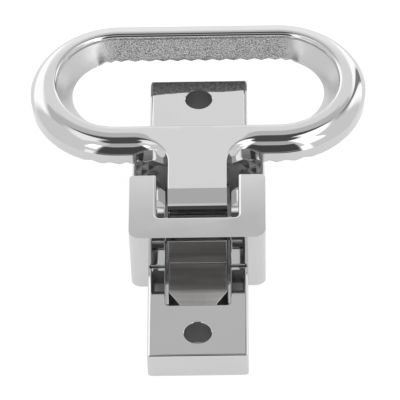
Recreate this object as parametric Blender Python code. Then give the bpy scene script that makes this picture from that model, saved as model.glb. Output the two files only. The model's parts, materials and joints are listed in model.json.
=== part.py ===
"""Toggle bolt latch: a lift-ring handle draws a spring-loaded slide bolt out of a separate keeper.

The latch frame used below has X across, Y along the latch (0 where keeper and body meet, positive
towards the ring) and Z up from the surface that the latch is screwed to. All sizes are millimetres
until a mesh is made. A shared empty then moves the whole latch so that the world origin is under the
middle of its outline.
"""
import math

import bmesh
import bpy
from mathutils import Matrix

MM = 0.001
GAP = 0.2            # clearance between pieces that touch
PARTING_GAP = 0.3    # clearance between body and keeper, the bolt and what it slides on
REACH = 1.0          # how far a cutting shape runs past the face it opens
ROUND_STEPS = 32     # facets round a shaft or a hole
SHARP_ANGLE = math.radians(30)

# Base bars
BAR_WIDTH = 25.4
BAR_THICKNESS = 7.7
KEEPER_LENGTH = 29.6
BODY_LENGTH = 65.4
BAR_CORNER = 1.1     # upright corners
PARTING_CORNER = 0.3 # upright corners at the parting line
BAR_EDGE = 1.0       # long top edges
SLOT_WIDTH = 16.5
SLOT_CORNER = 1.0
KEEPER_SLOT = 12.9
BODY_SLOT = 28.2
KEEPER_FLOOR = 1.05
MORTISE = (5.3, 2.4, 5.6)    # half width, depth behind the slot, height of the lip's underside
HOLE_RADIUS = 3.5
KEEPER_HOLE_Y = -22.1
BODY_HOLE_Y = 58.6

# Cheeks and bridge of the body
CHEEK_FOOT = 17.1    # half width at the foot
CHEEK_TOP = 17.35    # half width at the top
BRIDGE_TOP = 18.5
BRIDGE_UNDERSIDE = 16.0
BRIDGE_LENGTH = 21.6
BRIDGE_BAR = 7.25
BRIDGE_SLOT = 10.45  # half width of the gap that the neck lies in
LIP_HEIGHT = 1.1
BACK_CHAMFER = 1.2
PASSAGE_FOOT = 12.6  # half widths of the passage under the bridge
PASSAGE_TOP = 11.4
SHOULDER_END = 40.0  # where the body narrows to the bar
FRONT_CORNER = 2.8
CHEEK_EDGE = 1.1

# Hinge
PIVOT_Y = 13.0
PIVOT_Z = 10.0
BOSS_RADIUS = 4.0
BOSS_FACE = 8.6      # distance of the boss face from the middle
PIN_RADIUS = 1.4
HEAD_RADIUS = 2.9
HEAD_SEAT = 15.5     # distance of the counterbore floor from the middle
BUSH_RADIUS = 2.2
BUSH_GAP = 0.15
PIN_END = 16.4
PIN_EDGE = 0.4       # broken edge of the pin's head and point
GROOVE_RADIUS = 1.0
CLIP_X = 15.7
CLIP_THICKNESS = 0.4
CLIP_RADIUS = 2.5
CLIP_MOUTH = (0.8, 1.3)      # half width of the clip's mouth at the pin and at the open end
KNUCKLE_RADIUS = 3.4
NECK_HALF = 7.55
BUSH_ENDS = (0.3, NECK_HALF - 0.1)   # distances of a bush's ends from the middle

# Lever that moves the bolt
LIFT_DEG = 55.0
CRANK = 4.8
CRANK_LEAN = math.radians(LIFT_DEG / 2)
DRIVE_Y = PIVOT_Y - CRANK * math.sin(CRANK_LEAN)
DRIVE_Z = PIVOT_Z - CRANK * math.cos(CRANK_LEAN)
EAR = (2.3, 4.3)     # inner and outer face of each crank ear
EAR_RADIUS = 1.6
DRIVE_PIN_RADIUS = 0.8
DRIVE_PIN_END = 4.6
ROLLER_RADIUS = 1.8
BOLT_TRAVEL = 2 * CRANK * math.sin(CRANK_LEAN)

# Slide bolt
BOLT_HALF = 7.45
BOLT_BOTTOM = 1.35
BOLT_TOP = 7.5
BOLT_TIP = -14.5
TAIL_END = 23.3
TAIL_TOP = 6.25
STEP_Y = 4.8         # where the tail drops below the knuckle
SHOULDER_FRONT = 1.45
SHOULDER_TOP = 15.7
GUSSET = ((3.1, 11.0), (STEP_Y, 9.0))
BEVEL_START = -8.2
BOLT_TIP_TOP = 4.35
NOSE = (-8.3, -11.1, 4.8)    # where the corner cuts start and end, half width of the tip
WINDOW_PLAY = 0.35
WINDOW_HALF = 4.9
WINDOW_CORNER = 0.4
SPRING_X = 3.9
SPRING_Z = 3.8
SPRING_BORE = 1.5
SPRING_SEAT = 15.2
SPRING_RADIUS = 1.08
SPRING_WIRE = 0.22
SPRING_TURNS = 9
GUIDE_RADIUS = 0.6
GUIDE_END = 32.0
GUIDE_TAPER = (0.2, 0.3)     # drop and length of the guide's tapered end
COIL_STEPS = 12      # points in a turn
WIRE_SIDES = 6

# Retainer plate under the body
PLATE = (14.7, 1.5, 22.3, 0.05, 1.05)    # half width, front, back, bottom, top
SCREW_X = 12.2
SCREW_YS = (4.6, 19.2)
SCREW_RADIUS = 1.2
SCREW_HEAD = 2.1
SCREW_TOP = 5.8
SCREW_BOTTOM = 0.1
SCREW_POINT = 0.6    # length of the tapered end
COUNTERSINK_LAND = 0.1
RECESS_LENGTH = 1.2  # half length of the cross recess
RECESS_WIDTH = 0.25
RECESS_DEPTH = 0.6
PLATE_CORNER = 2.0

# Ring handle: a stadium whose front rim, flat face and outer crease have centres of their own,
# so that the bar is widest next to the neck and slimmest along the far side
RING_STRAIGHT = 20.6     # half length of the straight stretch
RIM_Y = 55.87
RIM_RADIUS = 16.2        # radius of the opening's ends at the front rim
RIM_ROUND = (1.0, 1.1)   # width and drop of the rounded rim
WALL_LEAN = 3.85         # how far the sloping inner wall comes in by the back
EDGE_Y = 55.1
EDGE_RADIUS = 19.2       # radius at which the flat front face ends
CREASE_Y = 54.43
CREASE_RADIUS = 23.12    # radius of the crease where the rounded shoulder meets the outer wall
SHOULDER_DROP = 2.7
SHOULDER_TURN = math.radians(60)
WALL_FOOT = 12.6         # height of the outer wall's lower edge
RING_BACK = 11.75        # height of the ring's underside
BACK_EDGE = 1.0          # broken edges at the back
RING_STEPS = 22      # stations round each end
RIM_STEPS = 2
SHOULDER_STEPS = 5

# Neck between the ring and the knuckle
NECK_UNDERSIDE = 12.6
NECK_FILLET = 9.5
FILLET_STEPS = 10
NECK_FLAT_END = 17.0
NECK_BEVEL = (13.6, 16.4)    # foot of the bevel at the neck's end
NECK_NOSE = ((12.85, 16.4), (12.2, 15.75), (12.2, 15.4), (12.5, 14.9), (13.4, 14.2))    # from its ledge down
WEB = (1.2, 5.2, 8.0)    # behind the pivot: the web's front, its back, and where it meets the neck
NECK_ROOT = (4.0, 2.2, 1.2)      # in front of the rim: where the neck's underside ends inside the ring

BUMPER_Y = 34.0
BUMPER_RADIUS = 2.6
BUMPER_DOME = ((1.0, 0.0), (0.3, 0.3), (0.0, 1.0))   # drop below the top, loss of radius
STEM_RADIUS = 1.4
STEM_BOTTOM = 4.2
STEM_TAPER = (0.3, 0.4)

MIDDLE_Y = (CREASE_Y + CREASE_RADIUS - KEEPER_LENGTH) / 2

METALS = {
    "chrome": ((0.80, 0.80, 0.80), 1.0, 0.08),
    "satin_steel": ((0.42, 0.41, 0.41), 1.0, 0.32),
    "plain_steel": ((0.62, 0.62, 0.62), 1.0, 0.25),
    "zinc_plate": ((0.66, 0.67, 0.66), 1.0, 0.35),
    "bronze": ((0.62, 0.43, 0.20), 1.0, 0.38),
    "spring_steel": ((0.50, 0.50, 0.52), 1.0, 0.30),
    "black_rubber": ((0.03, 0.03, 0.03), 0.0, 0.75),
}


# ---------------------------------------------------------------- outlines

def arc(centre, radius, start, end, steps):
    """Points along an arc, angles in degrees."""
    angles = [math.radians(start + (end - start) * k / steps) for k in range(steps + 1)]
    return [(centre[0] + radius * math.cos(a), centre[1] + radius * math.sin(a)) for a in angles]


def rounded(corners, steps=4):
    """A closed outline from (a, b, radius) corners, each rounded to its radius."""
    points = []
    for k, (x, y, radius) in enumerate(corners):
        if radius == 0:
            points.append((x, y))
            continue
        before = corners[k - 1]
        after = corners[(k + 1) % len(corners)]
        come = math.atan2(before[1] - y, before[0] - x)
        leave = math.atan2(after[1] - y, after[0] - x)
        turn = (leave - come + math.pi) % (2 * math.pi) - math.pi
        away = radius / math.sin(abs(turn) / 2)
        middle = come + turn / 2
        centre = (x + away * math.cos(middle), y + away * math.sin(middle))
        sweep = math.copysign(math.pi - abs(turn), -turn)
        first = middle + math.pi - sweep / 2
        points += arc(centre, radius, math.degrees(first), math.degrees(first + sweep), steps)
    return points


def box_outline(half_width, low, high, radius):
    """A rectangle about the middle line, from low to high, with equal corners."""
    return rounded([(-half_width, low, radius), (half_width, low, radius),
                    (half_width, high, radius), (-half_width, high, radius)])


# ---------------------------------------------------------------- solids

PLACES = {
    "X": lambda a, b, c: (c, a, b),
    "Y": lambda a, b, c: (a, c, b),
    "Z": lambda a, b, c: (a, b, c),
}


def solid(bm, name="tool"):
    """Put a finished bmesh in the scene as an object."""
    bmesh.ops.recalc_face_normals(bm, faces=bm.faces)
    mesh = bpy.data.meshes.new(name)
    bm.to_mesh(mesh)
    bm.free()
    piece = bpy.data.objects.new(name, mesh)
    bpy.context.scene.collection.objects.link(piece)
    return piece


def bridge_rings(bm, rings, closed):
    """Skin neighbouring rings of vertices; a closed set joins its last ring to its first."""
    pairs = list(zip(rings, rings[1:]))
    if closed:
        pairs.append((rings[-1], rings[0]))
    for low, high in pairs:
        count = max(len(low), len(high))
        for k in range(count):
            nxt = (k + 1) % count
            corners = [low[k % len(low)], low[nxt % len(low)], high[nxt % len(high)], high[k % len(high)]]
            bm.faces.new(list(dict.fromkeys(corners)))


def prism(outline, axis, low, high):
    """An outline pushed along an axis. It is (y, z) for X, (x, z) for Y and (x, y) for Z."""
    place = PLACES[axis]
    bm = bmesh.new()
    rings = [[bm.verts.new([MM * v for v in place(a, b, c)]) for a, b in outline] for c in (low, high)]
    bm.faces.new(rings[0])
    bm.faces.new(rings[1])
    bridge_rings(bm, rings, closed=False)
    return solid(bm)


def turned(profile, axis, centre, closed=False):
    """A profile of (along, radius) points turned about an axis through centre."""
    place = PLACES[axis]
    bm = bmesh.new()
    rings = []
    for along, radius in profile:
        count = ROUND_STEPS if radius > 0 else 1
        angles = [2 * math.pi * k / count for k in range(count)]
        rings.append([bm.verts.new([MM * v for v in place(centre[0] + radius * math.cos(a),
                                                          centre[1] + radius * math.sin(a), along)])
                      for a in angles])
    bridge_rings(bm, rings, closed)
    return solid(bm)


def rod(axis, centre, radius, low, high):
    """A plain round bar along an axis."""
    return turned([(low, 0), (low, radius), (high, radius), (high, 0)], axis, centre)


def tube(axis, centre, inner, outer, low, high):
    """A plain round sleeve along an axis."""
    return turned([(low, inner), (low, outer), (high, outer), (high, inner)], axis, centre, closed=True)


def combine(target, tool, operation):
    """Join, cut or keep the overlap of two solids; the second one is used up."""
    step = target.modifiers.new(operation.lower(), "BOOLEAN")
    step.solver = "EXACT"
    step.operation = operation
    step.object = tool
    state = bpy.context.evaluated_depsgraph_get()
    result = bpy.data.meshes.new_from_object(target.evaluated_get(state))
    target.modifiers.clear()
    target.data = result
    bpy.data.objects.remove(tool)


def join(target, *tools):
    for tool in tools:
        combine(target, tool, "UNION")


def cut(target, *tools):
    for tool in tools:
        combine(target, tool, "DIFFERENCE")


def trim(target, tool):
    combine(target, tool, "INTERSECT")


def metal(name):
    """The material of that name, made once."""
    material = bpy.data.materials.get(name)
    if material is None:
        colour, metallic, roughness = METALS[name]
        material = bpy.data.materials.new(name)
        material.use_nodes = True
        shader = material.node_tree.nodes["Principled BSDF"]
        shader.inputs["Base Color"].default_value = (*colour, 1)
        shader.inputs["Metallic"].default_value = metallic
        shader.inputs["Roughness"].default_value = roughness
    return material


def holder(name, spot, parent):
    """An empty that a group of pieces hangs on, at a spot given in the latch frame."""
    empty = bpy.data.objects.new(name, None)
    bpy.context.scene.collection.objects.link(empty)
    empty.location = [MM * v for v in spot]
    empty.parent = parent
    return empty


def finish(piece, name, material, empty):
    """Name a solid, give it its material and hang it on its empty, which becomes its origin."""
    piece.name = name
    piece.data.name = name
    piece.data.materials.clear()
    piece.data.materials.append(metal(material))
    if empty.parent is not None:
        piece.data.transform(Matrix.Translation(-empty.location))
    piece.data.shade_smooth()
    piece.data.set_sharp_from_angle(angle=SHARP_ANGLE)
    piece.parent = empty


# ---------------------------------------------------------------- fixed pieces

def bar_block(half_width, front, back, front_corner, back_corner):
    """A bar of the base: rounded upright corners, and long top edges rounded along Y."""
    section = rounded([(-half_width, 0, 0), (half_width, 0, 0),
                       (half_width, BAR_THICKNESS, BAR_EDGE), (-half_width, BAR_THICKNESS, BAR_EDGE)])
    plan = rounded([(-half_width, front, front_corner), (half_width, front, front_corner),
                    (half_width, back, back_corner), (-half_width, back, back_corner)])
    block = prism(plan, "Z", 0, BAR_THICKNESS)
    trim(block, prism(section, "Y", front - REACH, back + REACH))
    return block


def screw_hole(y):
    """A cutter for a plain mounting hole through a base bar."""
    return rod("Z", (0, y), HOLE_RADIUS, -REACH, BAR_THICKNESS + REACH)


def make_latch_body(fixed):
    """Casting that carries the hinge, the bridge and the bolt's slot."""
    front = PARTING_GAP / 2
    body = bar_block(BAR_WIDTH / 2, front, BODY_LENGTH, PARTING_CORNER, BAR_CORNER)
    join(body, bar_block(CHEEK_FOOT, front, SHOULDER_END, FRONT_CORNER, FRONT_CORNER))

    cheeks = prism(rounded([(-CHEEK_FOOT, 0, 0), (CHEEK_FOOT, 0, 0),
                            (CHEEK_TOP, BRIDGE_TOP, CHEEK_EDGE), (-CHEEK_TOP, BRIDGE_TOP, CHEEK_EDGE)]),
                   "Y", front, BRIDGE_LENGTH)
    plan = rounded([(-CHEEK_TOP, front, FRONT_CORNER), (CHEEK_TOP, front, FRONT_CORNER),
                    (CHEEK_TOP, BRIDGE_LENGTH, CHEEK_EDGE), (-CHEEK_TOP, BRIDGE_LENGTH, CHEEK_EDGE)])
    trim(cheeks, prism(plan, "Z", -REACH, BRIDGE_TOP + REACH))
    join(body, cheeks)

    passage = [(-PASSAGE_FOOT, BAR_THICKNESS), (PASSAGE_FOOT, BAR_THICKNESS),
               (PASSAGE_TOP, BRIDGE_UNDERSIDE), (-PASSAGE_TOP, BRIDGE_UNDERSIDE)]
    cut(body, prism(passage, "Y", -REACH, BRIDGE_LENGTH + REACH))
    cut(body, prism(box_outline(BRIDGE_SLOT, BRIDGE_BAR, BRIDGE_LENGTH + 4 * REACH, SLOT_CORNER),
                    "Z", BRIDGE_UNDERSIDE - REACH, BRIDGE_TOP + REACH))
    lip = BRIDGE_TOP - LIP_HEIGHT
    run = lip - BRIDGE_UNDERSIDE
    under_lip = [(front - REACH, lip + REACH), (front + run + REACH, BRIDGE_UNDERSIDE - REACH),
                 (front - REACH, BRIDGE_UNDERSIDE - REACH)]
    cut(body, prism(under_lip, "X", -PASSAGE_TOP, PASSAGE_TOP))
    behind_bar = [(BRIDGE_BAR + REACH, BRIDGE_UNDERSIDE + BACK_CHAMFER + REACH),
                  (BRIDGE_BAR - BACK_CHAMFER - REACH, BRIDGE_UNDERSIDE - REACH),
                  (BRIDGE_BAR + REACH, BRIDGE_UNDERSIDE - REACH)]
    cut(body, prism(behind_bar, "X", -BRIDGE_SLOT, BRIDGE_SLOT))
    cut(body, prism(box_outline(SLOT_WIDTH / 2, -REACH * 2, BODY_SLOT, SLOT_CORNER),
                    "Z", -REACH, BAR_THICKNESS + REACH))

    pivot = (PIVOT_Y, PIVOT_Z)
    wall = PASSAGE_FOOT + REACH
    join(body, rod("X", pivot, BOSS_RADIUS, BOSS_FACE, wall), rod("X", pivot, BOSS_RADIUS, -wall, -BOSS_FACE))
    outside = CHEEK_TOP + REACH
    cut(body, rod("X", pivot, PIN_RADIUS + GAP, -outside, outside))
    seat = HEAD_RADIUS + GAP
    cut(body, rod("X", pivot, seat, HEAD_SEAT, outside), rod("X", pivot, seat, -outside, -HEAD_SEAT))

    half, plate_front, plate_back, _, plate_top = PLATE
    cut(body, prism(box_outline(half + GAP, plate_front - GAP, plate_back + GAP, PLATE_CORNER),
                    "Z", -REACH, plate_top + GAP))
    for x in (-SCREW_X, SCREW_X):
        for y in SCREW_YS:
            cut(body, rod("Z", (x, y), SCREW_RADIUS + GAP, plate_top, SCREW_TOP + 2 * GAP))
    for x in (-SPRING_X, SPRING_X):
        cut(body, rod("Y", (x, SPRING_Z), GUIDE_RADIUS + GAP, BODY_SLOT - REACH, GUIDE_END + GAP))
    cut(body, rod("Z", (0, BUMPER_Y), STEM_RADIUS + GAP, STEM_BOTTOM - GAP, BAR_THICKNESS + REACH))
    cut(body, screw_hole(BODY_HOLE_Y))
    finish(body, "latch_body", "chrome", fixed)


def make_keeper(fixed):
    """Separate block whose lip the bolt's wedge slides under."""
    keeper = bar_block(BAR_WIDTH / 2, -KEEPER_LENGTH, -PARTING_GAP / 2, BAR_CORNER, PARTING_CORNER)
    cut(keeper, prism(box_outline(SLOT_WIDTH / 2, -KEEPER_SLOT, 2 * REACH, SLOT_CORNER),
                      "Z", KEEPER_FLOOR, BAR_THICKNESS + REACH))
    half, depth, underside = MORTISE
    mortise = box_outline(half, -KEEPER_SLOT - depth, -KEEPER_SLOT + REACH, 0)
    cut(keeper, prism(mortise, "Z", KEEPER_FLOOR, underside), screw_hole(KEEPER_HOLE_Y))
    finish(keeper, "keeper", "chrome", fixed)


def make_hinge_pin(fixed):
    """Headed pin through both cheeks, with a groove for its clip at the right-hand end."""
    head = HEAD_SEAT + GAP
    groove = (CLIP_X - GAP, CLIP_X + CLIP_THICKNESS + GAP)
    profile = [(-PIN_END, 0), (-PIN_END, HEAD_RADIUS - PIN_EDGE), (-PIN_END + PIN_EDGE, HEAD_RADIUS),
               (-head, HEAD_RADIUS), (-head, PIN_RADIUS),
               (groove[0], PIN_RADIUS), (groove[0], GROOVE_RADIUS), (groove[1], GROOVE_RADIUS),
               (groove[1], PIN_RADIUS), (PIN_END - PIN_EDGE / 2, PIN_RADIUS),
               (PIN_END, PIN_RADIUS - PIN_EDGE / 2), (PIN_END, 0)]
    finish(turned(profile, "X", (PIVOT_Y, PIVOT_Z)), "hinge_pin", "plain_steel", fixed)


def make_pin_clip(fixed):
    """Open spring clip that holds the hinge pin in."""
    low, high = CLIP_X, CLIP_X + CLIP_THICKNESS
    pivot = (PIVOT_Y, PIVOT_Z)
    clip = tube("X", pivot, GROOVE_RADIUS + GAP, CLIP_RADIUS, low, high)
    narrow, wide = CLIP_MOUTH
    open_end = PIVOT_Z - CLIP_RADIUS - REACH
    mouth = [(PIVOT_Y - narrow, PIVOT_Z), (PIVOT_Y + narrow, PIVOT_Z),
             (PIVOT_Y + wide, open_end), (PIVOT_Y - wide, open_end)]
    cut(clip, prism(mouth, "X", low - REACH, high + REACH))
    finish(clip, "pin_retaining_clip", "spring_steel", fixed)


def make_retainer_plate(fixed):
    """Steel plate let into the underside, which the bolt slides on."""
    half, front, back, bottom, top = PLATE
    plate = prism(box_outline(half, front, back, PLATE_CORNER), "Z", bottom, top)
    for x in (-SCREW_X, SCREW_X):
        for y in SCREW_YS:
            countersink = [(bottom - REACH, 0), (bottom - REACH, SCREW_HEAD + 2 * GAP + REACH),
                           (top - COUNTERSINK_LAND, SCREW_RADIUS + GAP),
                           (top + REACH, SCREW_RADIUS + GAP), (top + REACH, 0)]
            cut(plate, turned(countersink, "Z", (x, y)))
    finish(plate, "retainer_plate", "zinc_plate", fixed)


def make_plate_screw(name, x, y, fixed):
    """Countersunk screw with a cross recess, head down."""
    head = SCREW_BOTTOM + (SCREW_HEAD - SCREW_RADIUS)
    profile = [(SCREW_BOTTOM, 0), (SCREW_BOTTOM, SCREW_HEAD), (head, SCREW_RADIUS),
               (SCREW_TOP - SCREW_POINT, SCREW_RADIUS), (SCREW_TOP, SCREW_RADIUS / 2), (SCREW_TOP, 0)]
    screw = turned(profile, "Z", (x, y))
    for long_way in (True, False):
        a, b = (RECESS_LENGTH, RECESS_WIDTH) if long_way else (RECESS_WIDTH, RECESS_LENGTH)
        outline = [(x - a, y - b), (x + a, y - b), (x + a, y + b), (x - a, y + b)]
        cut(screw, prism(outline, "Z", SCREW_BOTTOM - REACH, SCREW_BOTTOM + RECESS_DEPTH))
    finish(screw, name, "zinc_plate", fixed)


def make_spring(name, x, fixed):
    """Compression spring between the bolt's tail and the end of the slot."""
    start = SPRING_SEAT + GAP + SPRING_WIRE
    end = BODY_SLOT - GAP - SPRING_WIRE
    steps = SPRING_TURNS * COIL_STEPS
    bm = bmesh.new()
    rings = []
    for k in range(steps + 1):
        angle = 2 * math.pi * k / COIL_STEPS
        y = start + (end - start) * k / steps
        ring = []
        for j in range(WIRE_SIDES):
            around = 2 * math.pi * j / WIRE_SIDES
            radius = SPRING_RADIUS + SPRING_WIRE * math.cos(around)
            spot = (x + radius * math.cos(angle), y + SPRING_WIRE * math.sin(around),
                    SPRING_Z + radius * math.sin(angle))
            ring.append(bm.verts.new([MM * v for v in spot]))
        rings.append(ring)
    bridge_rings(bm, rings, closed=False)
    bm.faces.new(rings[0])
    bm.faces.new(rings[-1])
    finish(solid(bm), name, "spring_steel", fixed)


def make_spring_guide(name, x, fixed):
    """Rod that keeps a spring straight, set in the end wall of the slot."""
    start = SPRING_SEAT + BOLT_TRAVEL + 2 * GAP
    drop, length = GUIDE_TAPER
    profile = [(start, 0), (start, GUIDE_RADIUS - drop), (start + length, GUIDE_RADIUS),
               (GUIDE_END, GUIDE_RADIUS), (GUIDE_END, 0)]
    finish(turned(profile, "Y", (x, SPRING_Z)), name, "plain_steel", fixed)


def make_handle_bumper(fixed):
    """Rubber button that the closed handle rests on, with its stem in the body."""
    seat = BAR_THICKNESS + GAP
    top = RING_BACK - PARTING_GAP
    loss, length = STEM_TAPER
    profile = [(STEM_BOTTOM, 0), (STEM_BOTTOM, STEM_RADIUS - loss), (STEM_BOTTOM + length, STEM_RADIUS),
               (seat, STEM_RADIUS), (seat, BUMPER_RADIUS)]
    profile += [(top - drop, BUMPER_RADIUS - inwards) for drop, inwards in BUMPER_DOME]
    profile.append((top, 0))
    finish(turned(profile, "Z", (0, BUMPER_Y)), "handle_bumper", "black_rubber", fixed)


# ---------------------------------------------------------------- handle

def ring_section():
    """Section of the ring's bar as (centre Y, radius, height), from the rim round to the inner wall."""
    width, drop = RIM_ROUND
    points = []
    for k in range(RIM_STEPS + 1):
        angle = math.pi / 2 * k / RIM_STEPS
        out = width * (1 - math.cos(angle))
        down = drop * (1 - math.sin(angle))
        points.append((RIM_Y, RIM_RADIUS + out, BRIDGE_TOP - down))
    for k in range(SHOULDER_STEPS + 1):
        angle = SHOULDER_TURN * k / SHOULDER_STEPS
        share = math.sin(angle) / math.sin(SHOULDER_TURN)
        down = SHOULDER_DROP * (1 - math.cos(angle)) / (1 - math.cos(SHOULDER_TURN))
        points.append((EDGE_Y + (CREASE_Y - EDGE_Y) * share,
                       EDGE_RADIUS + (CREASE_RADIUS - EDGE_RADIUS) * share, BRIDGE_TOP - down))
    back_inner = RIM_RADIUS - WALL_LEAN
    points += [(CREASE_Y, CREASE_RADIUS, WALL_FOOT), (CREASE_Y, CREASE_RADIUS - BACK_EDGE, RING_BACK),
               (RIM_Y, back_inner + BACK_EDGE, RING_BACK), (RIM_Y, back_inner, RING_BACK + BACK_EDGE)]
    return points


def make_ring():
    """The four-finger ring: its section carried round a stadium path."""
    stations = []
    for side in (1, -1):
        for k in range(RING_STEPS + 1):
            angle = side * math.pi / 2 - math.pi * k / RING_STEPS
            stations.append((side * RING_STRAIGHT, angle))
    bm = bmesh.new()
    rings = []
    for x, angle in stations:
        rings.append([bm.verts.new([MM * v for v in (x + radius * math.cos(angle),
                                                     centre + radius * math.sin(angle), z)])
                      for centre, radius, z in ring_section()])
    bridge_rings(bm, rings, closed=True)
    return solid(bm)


def capsule(first, second, radius):
    """Outline in (y, z) of a lever from one axis to another."""
    lean = math.degrees(math.atan2(second[1] - first[1], second[0] - first[0]))
    return arc(second, radius, lean - 90, lean + 90, 12) + arc(first, radius, lean + 90, lean + 270, 12)


def make_pull_handle(lift):
    """Ring, neck, knuckle and crank ears in one casting."""
    handle = make_ring()
    rim = RIM_Y - RIM_RADIUS
    edge = EDGE_Y - EDGE_RADIUS
    underside_end, root_low, root_high = (rim - distance for distance in NECK_ROOT)
    web_front, web_back, web_top = (PIVOT_Y + distance for distance in WEB)
    inside_back = RING_BACK + BACK_EDGE / 3
    side = [(root_high, BRIDGE_TOP), (NECK_FLAT_END, BRIDGE_TOP), NECK_BEVEL, *NECK_NOSE,
            (web_front, PIVOT_Z), (web_back, PIVOT_Z), (web_top, NECK_UNDERSIDE),
            (underside_end, NECK_UNDERSIDE), (root_low, inside_back), (root_high, inside_back)]
    wide = NECK_HALF + NECK_FILLET
    plan = [(NECK_HALF, PIVOT_Y - REACH)]
    plan += arc((wide, edge - NECK_FILLET), NECK_FILLET, 180, 90, FILLET_STEPS)
    plan += [(wide, rim), (-wide, rim)]
    plan += arc((-wide, edge - NECK_FILLET), NECK_FILLET, 90, 0, FILLET_STEPS)
    plan += [(-NECK_HALF, PIVOT_Y - REACH)]
    neck = prism(side, "X", -wide - REACH, wide + REACH)
    trim(neck, prism(plan, "Z", 0, BRIDGE_TOP + REACH))
    join(handle, neck)

    pivot = (PIVOT_Y, PIVOT_Z)
    join(handle, rod("X", pivot, KNUCKLE_RADIUS, -NECK_HALF, NECK_HALF))
    drive = (DRIVE_Y, DRIVE_Z)
    for face_a, face_b in ((EAR[0], EAR[1]), (-EAR[1], -EAR[0])):
        join(handle, prism(capsule(pivot, drive, EAR_RADIUS), "X", face_a, face_b))
    cut(handle, rod("X", pivot, BUSH_RADIUS + BUSH_GAP, -NECK_HALF - REACH, NECK_HALF + REACH))
    cut(handle, rod("X", drive, DRIVE_PIN_RADIUS + BUSH_GAP, -EAR[1] - REACH, EAR[1] + REACH))
    cut(handle, rod("X", drive, ROLLER_RADIUS + GAP, -EAR[0], EAR[0]))
    finish(handle, "pull_handle", "chrome", lift)


def make_pivot_bush(name, side, lift):
    """Plain bearing bush in one half of the knuckle."""
    low, high = sorted(side * end for end in BUSH_ENDS)
    bush = tube("X", (PIVOT_Y, PIVOT_Z), PIN_RADIUS + BUSH_GAP, BUSH_RADIUS, low, high)
    finish(bush, name, "bronze", lift)


def make_drive_pin(lift):
    """Short pin across the crank ears."""
    pin = rod("X", (DRIVE_Y, DRIVE_Z), DRIVE_PIN_RADIUS, -DRIVE_PIN_END, DRIVE_PIN_END)
    finish(pin, "drive_pin", "plain_steel", lift)


def make_drive_roller(spin):
    """Roller on the drive pin, which pushes the bolt."""
    end = EAR[0] - GAP
    roller = tube("X", (DRIVE_Y, DRIVE_Z), DRIVE_PIN_RADIUS + BUSH_GAP, ROLLER_RADIUS, -end, end)
    finish(roller, "drive_roller", "plain_steel", spin)


# ---------------------------------------------------------------- bolt

def make_slide_bolt(slide):
    """Wedge-nosed tongue, raised shoulder and tail in one bar, with a window for the crank."""
    side = [(BOLT_TIP, BOLT_BOTTOM), (TAIL_END, BOLT_BOTTOM), (TAIL_END, TAIL_TOP), (STEP_Y, TAIL_TOP),
            (STEP_Y, GUSSET[1][1]), GUSSET[0], (GUSSET[0][0], SHOULDER_TOP), (SHOULDER_FRONT, SHOULDER_TOP),
            (SHOULDER_FRONT, BOLT_TOP), (BEVEL_START, BOLT_TOP), (BOLT_TIP, BOLT_TIP_TOP)]
    bolt = prism(side, "X", -BOLT_HALF, BOLT_HALF)
    corner_start, corner_end, tip_half = NOSE
    plan = [(-BOLT_HALF, TAIL_END + REACH), (-BOLT_HALF, corner_start), (-tip_half, corner_end),
            (-tip_half, BOLT_TIP - REACH), (tip_half, BOLT_TIP - REACH), (tip_half, corner_end),
            (BOLT_HALF, corner_start), (BOLT_HALF, TAIL_END + REACH)]
    trim(bolt, prism(plan, "Z", 0, BRIDGE_TOP))
    reach = ROLLER_RADIUS + WINDOW_PLAY
    window = box_outline(WINDOW_HALF, DRIVE_Y - reach, DRIVE_Y + reach, WINDOW_CORNER)
    cut(bolt, prism(window, "Z", 0, BOLT_TOP))
    for x in (-SPRING_X, SPRING_X):
        cut(bolt, rod("Y", (x, SPRING_Z), SPRING_BORE, SPRING_SEAT, TAIL_END + REACH))
    finish(bolt, "slide_bolt", "satin_steel", slide)


# ---------------------------------------------------------------- the latch

def clear_scene():
    for piece in list(bpy.data.objects):
        bpy.data.objects.remove(piece)


def main():
    clear_scene()
    fixed = holder("latch_frame", (0, -MIDDLE_Y, 0), None)
    lift = holder("handle_axis", (0, PIVOT_Y, PIVOT_Z), fixed)
    spin = holder("roller_axis", (0, DRIVE_Y, DRIVE_Z), fixed)
    slide = holder("bolt_line", (0, 0, (BOLT_BOTTOM + BOLT_TOP) / 2), fixed)

    make_latch_body(fixed)
    make_keeper(fixed)
    make_hinge_pin(fixed)
    make_pin_clip(fixed)
    make_retainer_plate(fixed)
    corners = {"front_left": (-SCREW_X, SCREW_YS[0]), "front_right": (SCREW_X, SCREW_YS[0]),
               "rear_left": (-SCREW_X, SCREW_YS[1]), "rear_right": (SCREW_X, SCREW_YS[1])}
    for corner, (x, y) in corners.items():
        make_plate_screw("plate_screw_" + corner, x, y, fixed)
    make_handle_bumper(fixed)
    make_pull_handle(lift)
    make_drive_pin(lift)
    make_drive_roller(spin)
    make_slide_bolt(slide)
    for hand, side in (("left", -1), ("right", 1)):
        make_spring("bolt_spring_" + hand, side * SPRING_X, fixed)
        make_spring_guide("spring_guide_" + hand, side * SPRING_X, fixed)
        make_pivot_bush("pivot_bush_" + hand, side, lift)


main()
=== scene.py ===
"""Looks of the toggle bolt latch: fine castings, springs and small parts in procedural metal,
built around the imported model, with a white table, a soft studio room and a camera.

Shapes are worked out in the latch frame: millimetres, X across, Y along the latch from the line
where keeper and body meet, Z up from the mounting surface. solid() moves them into place.
"""
import json
import math

import bmesh
import bpy
from mathutils import Matrix, Vector

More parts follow.
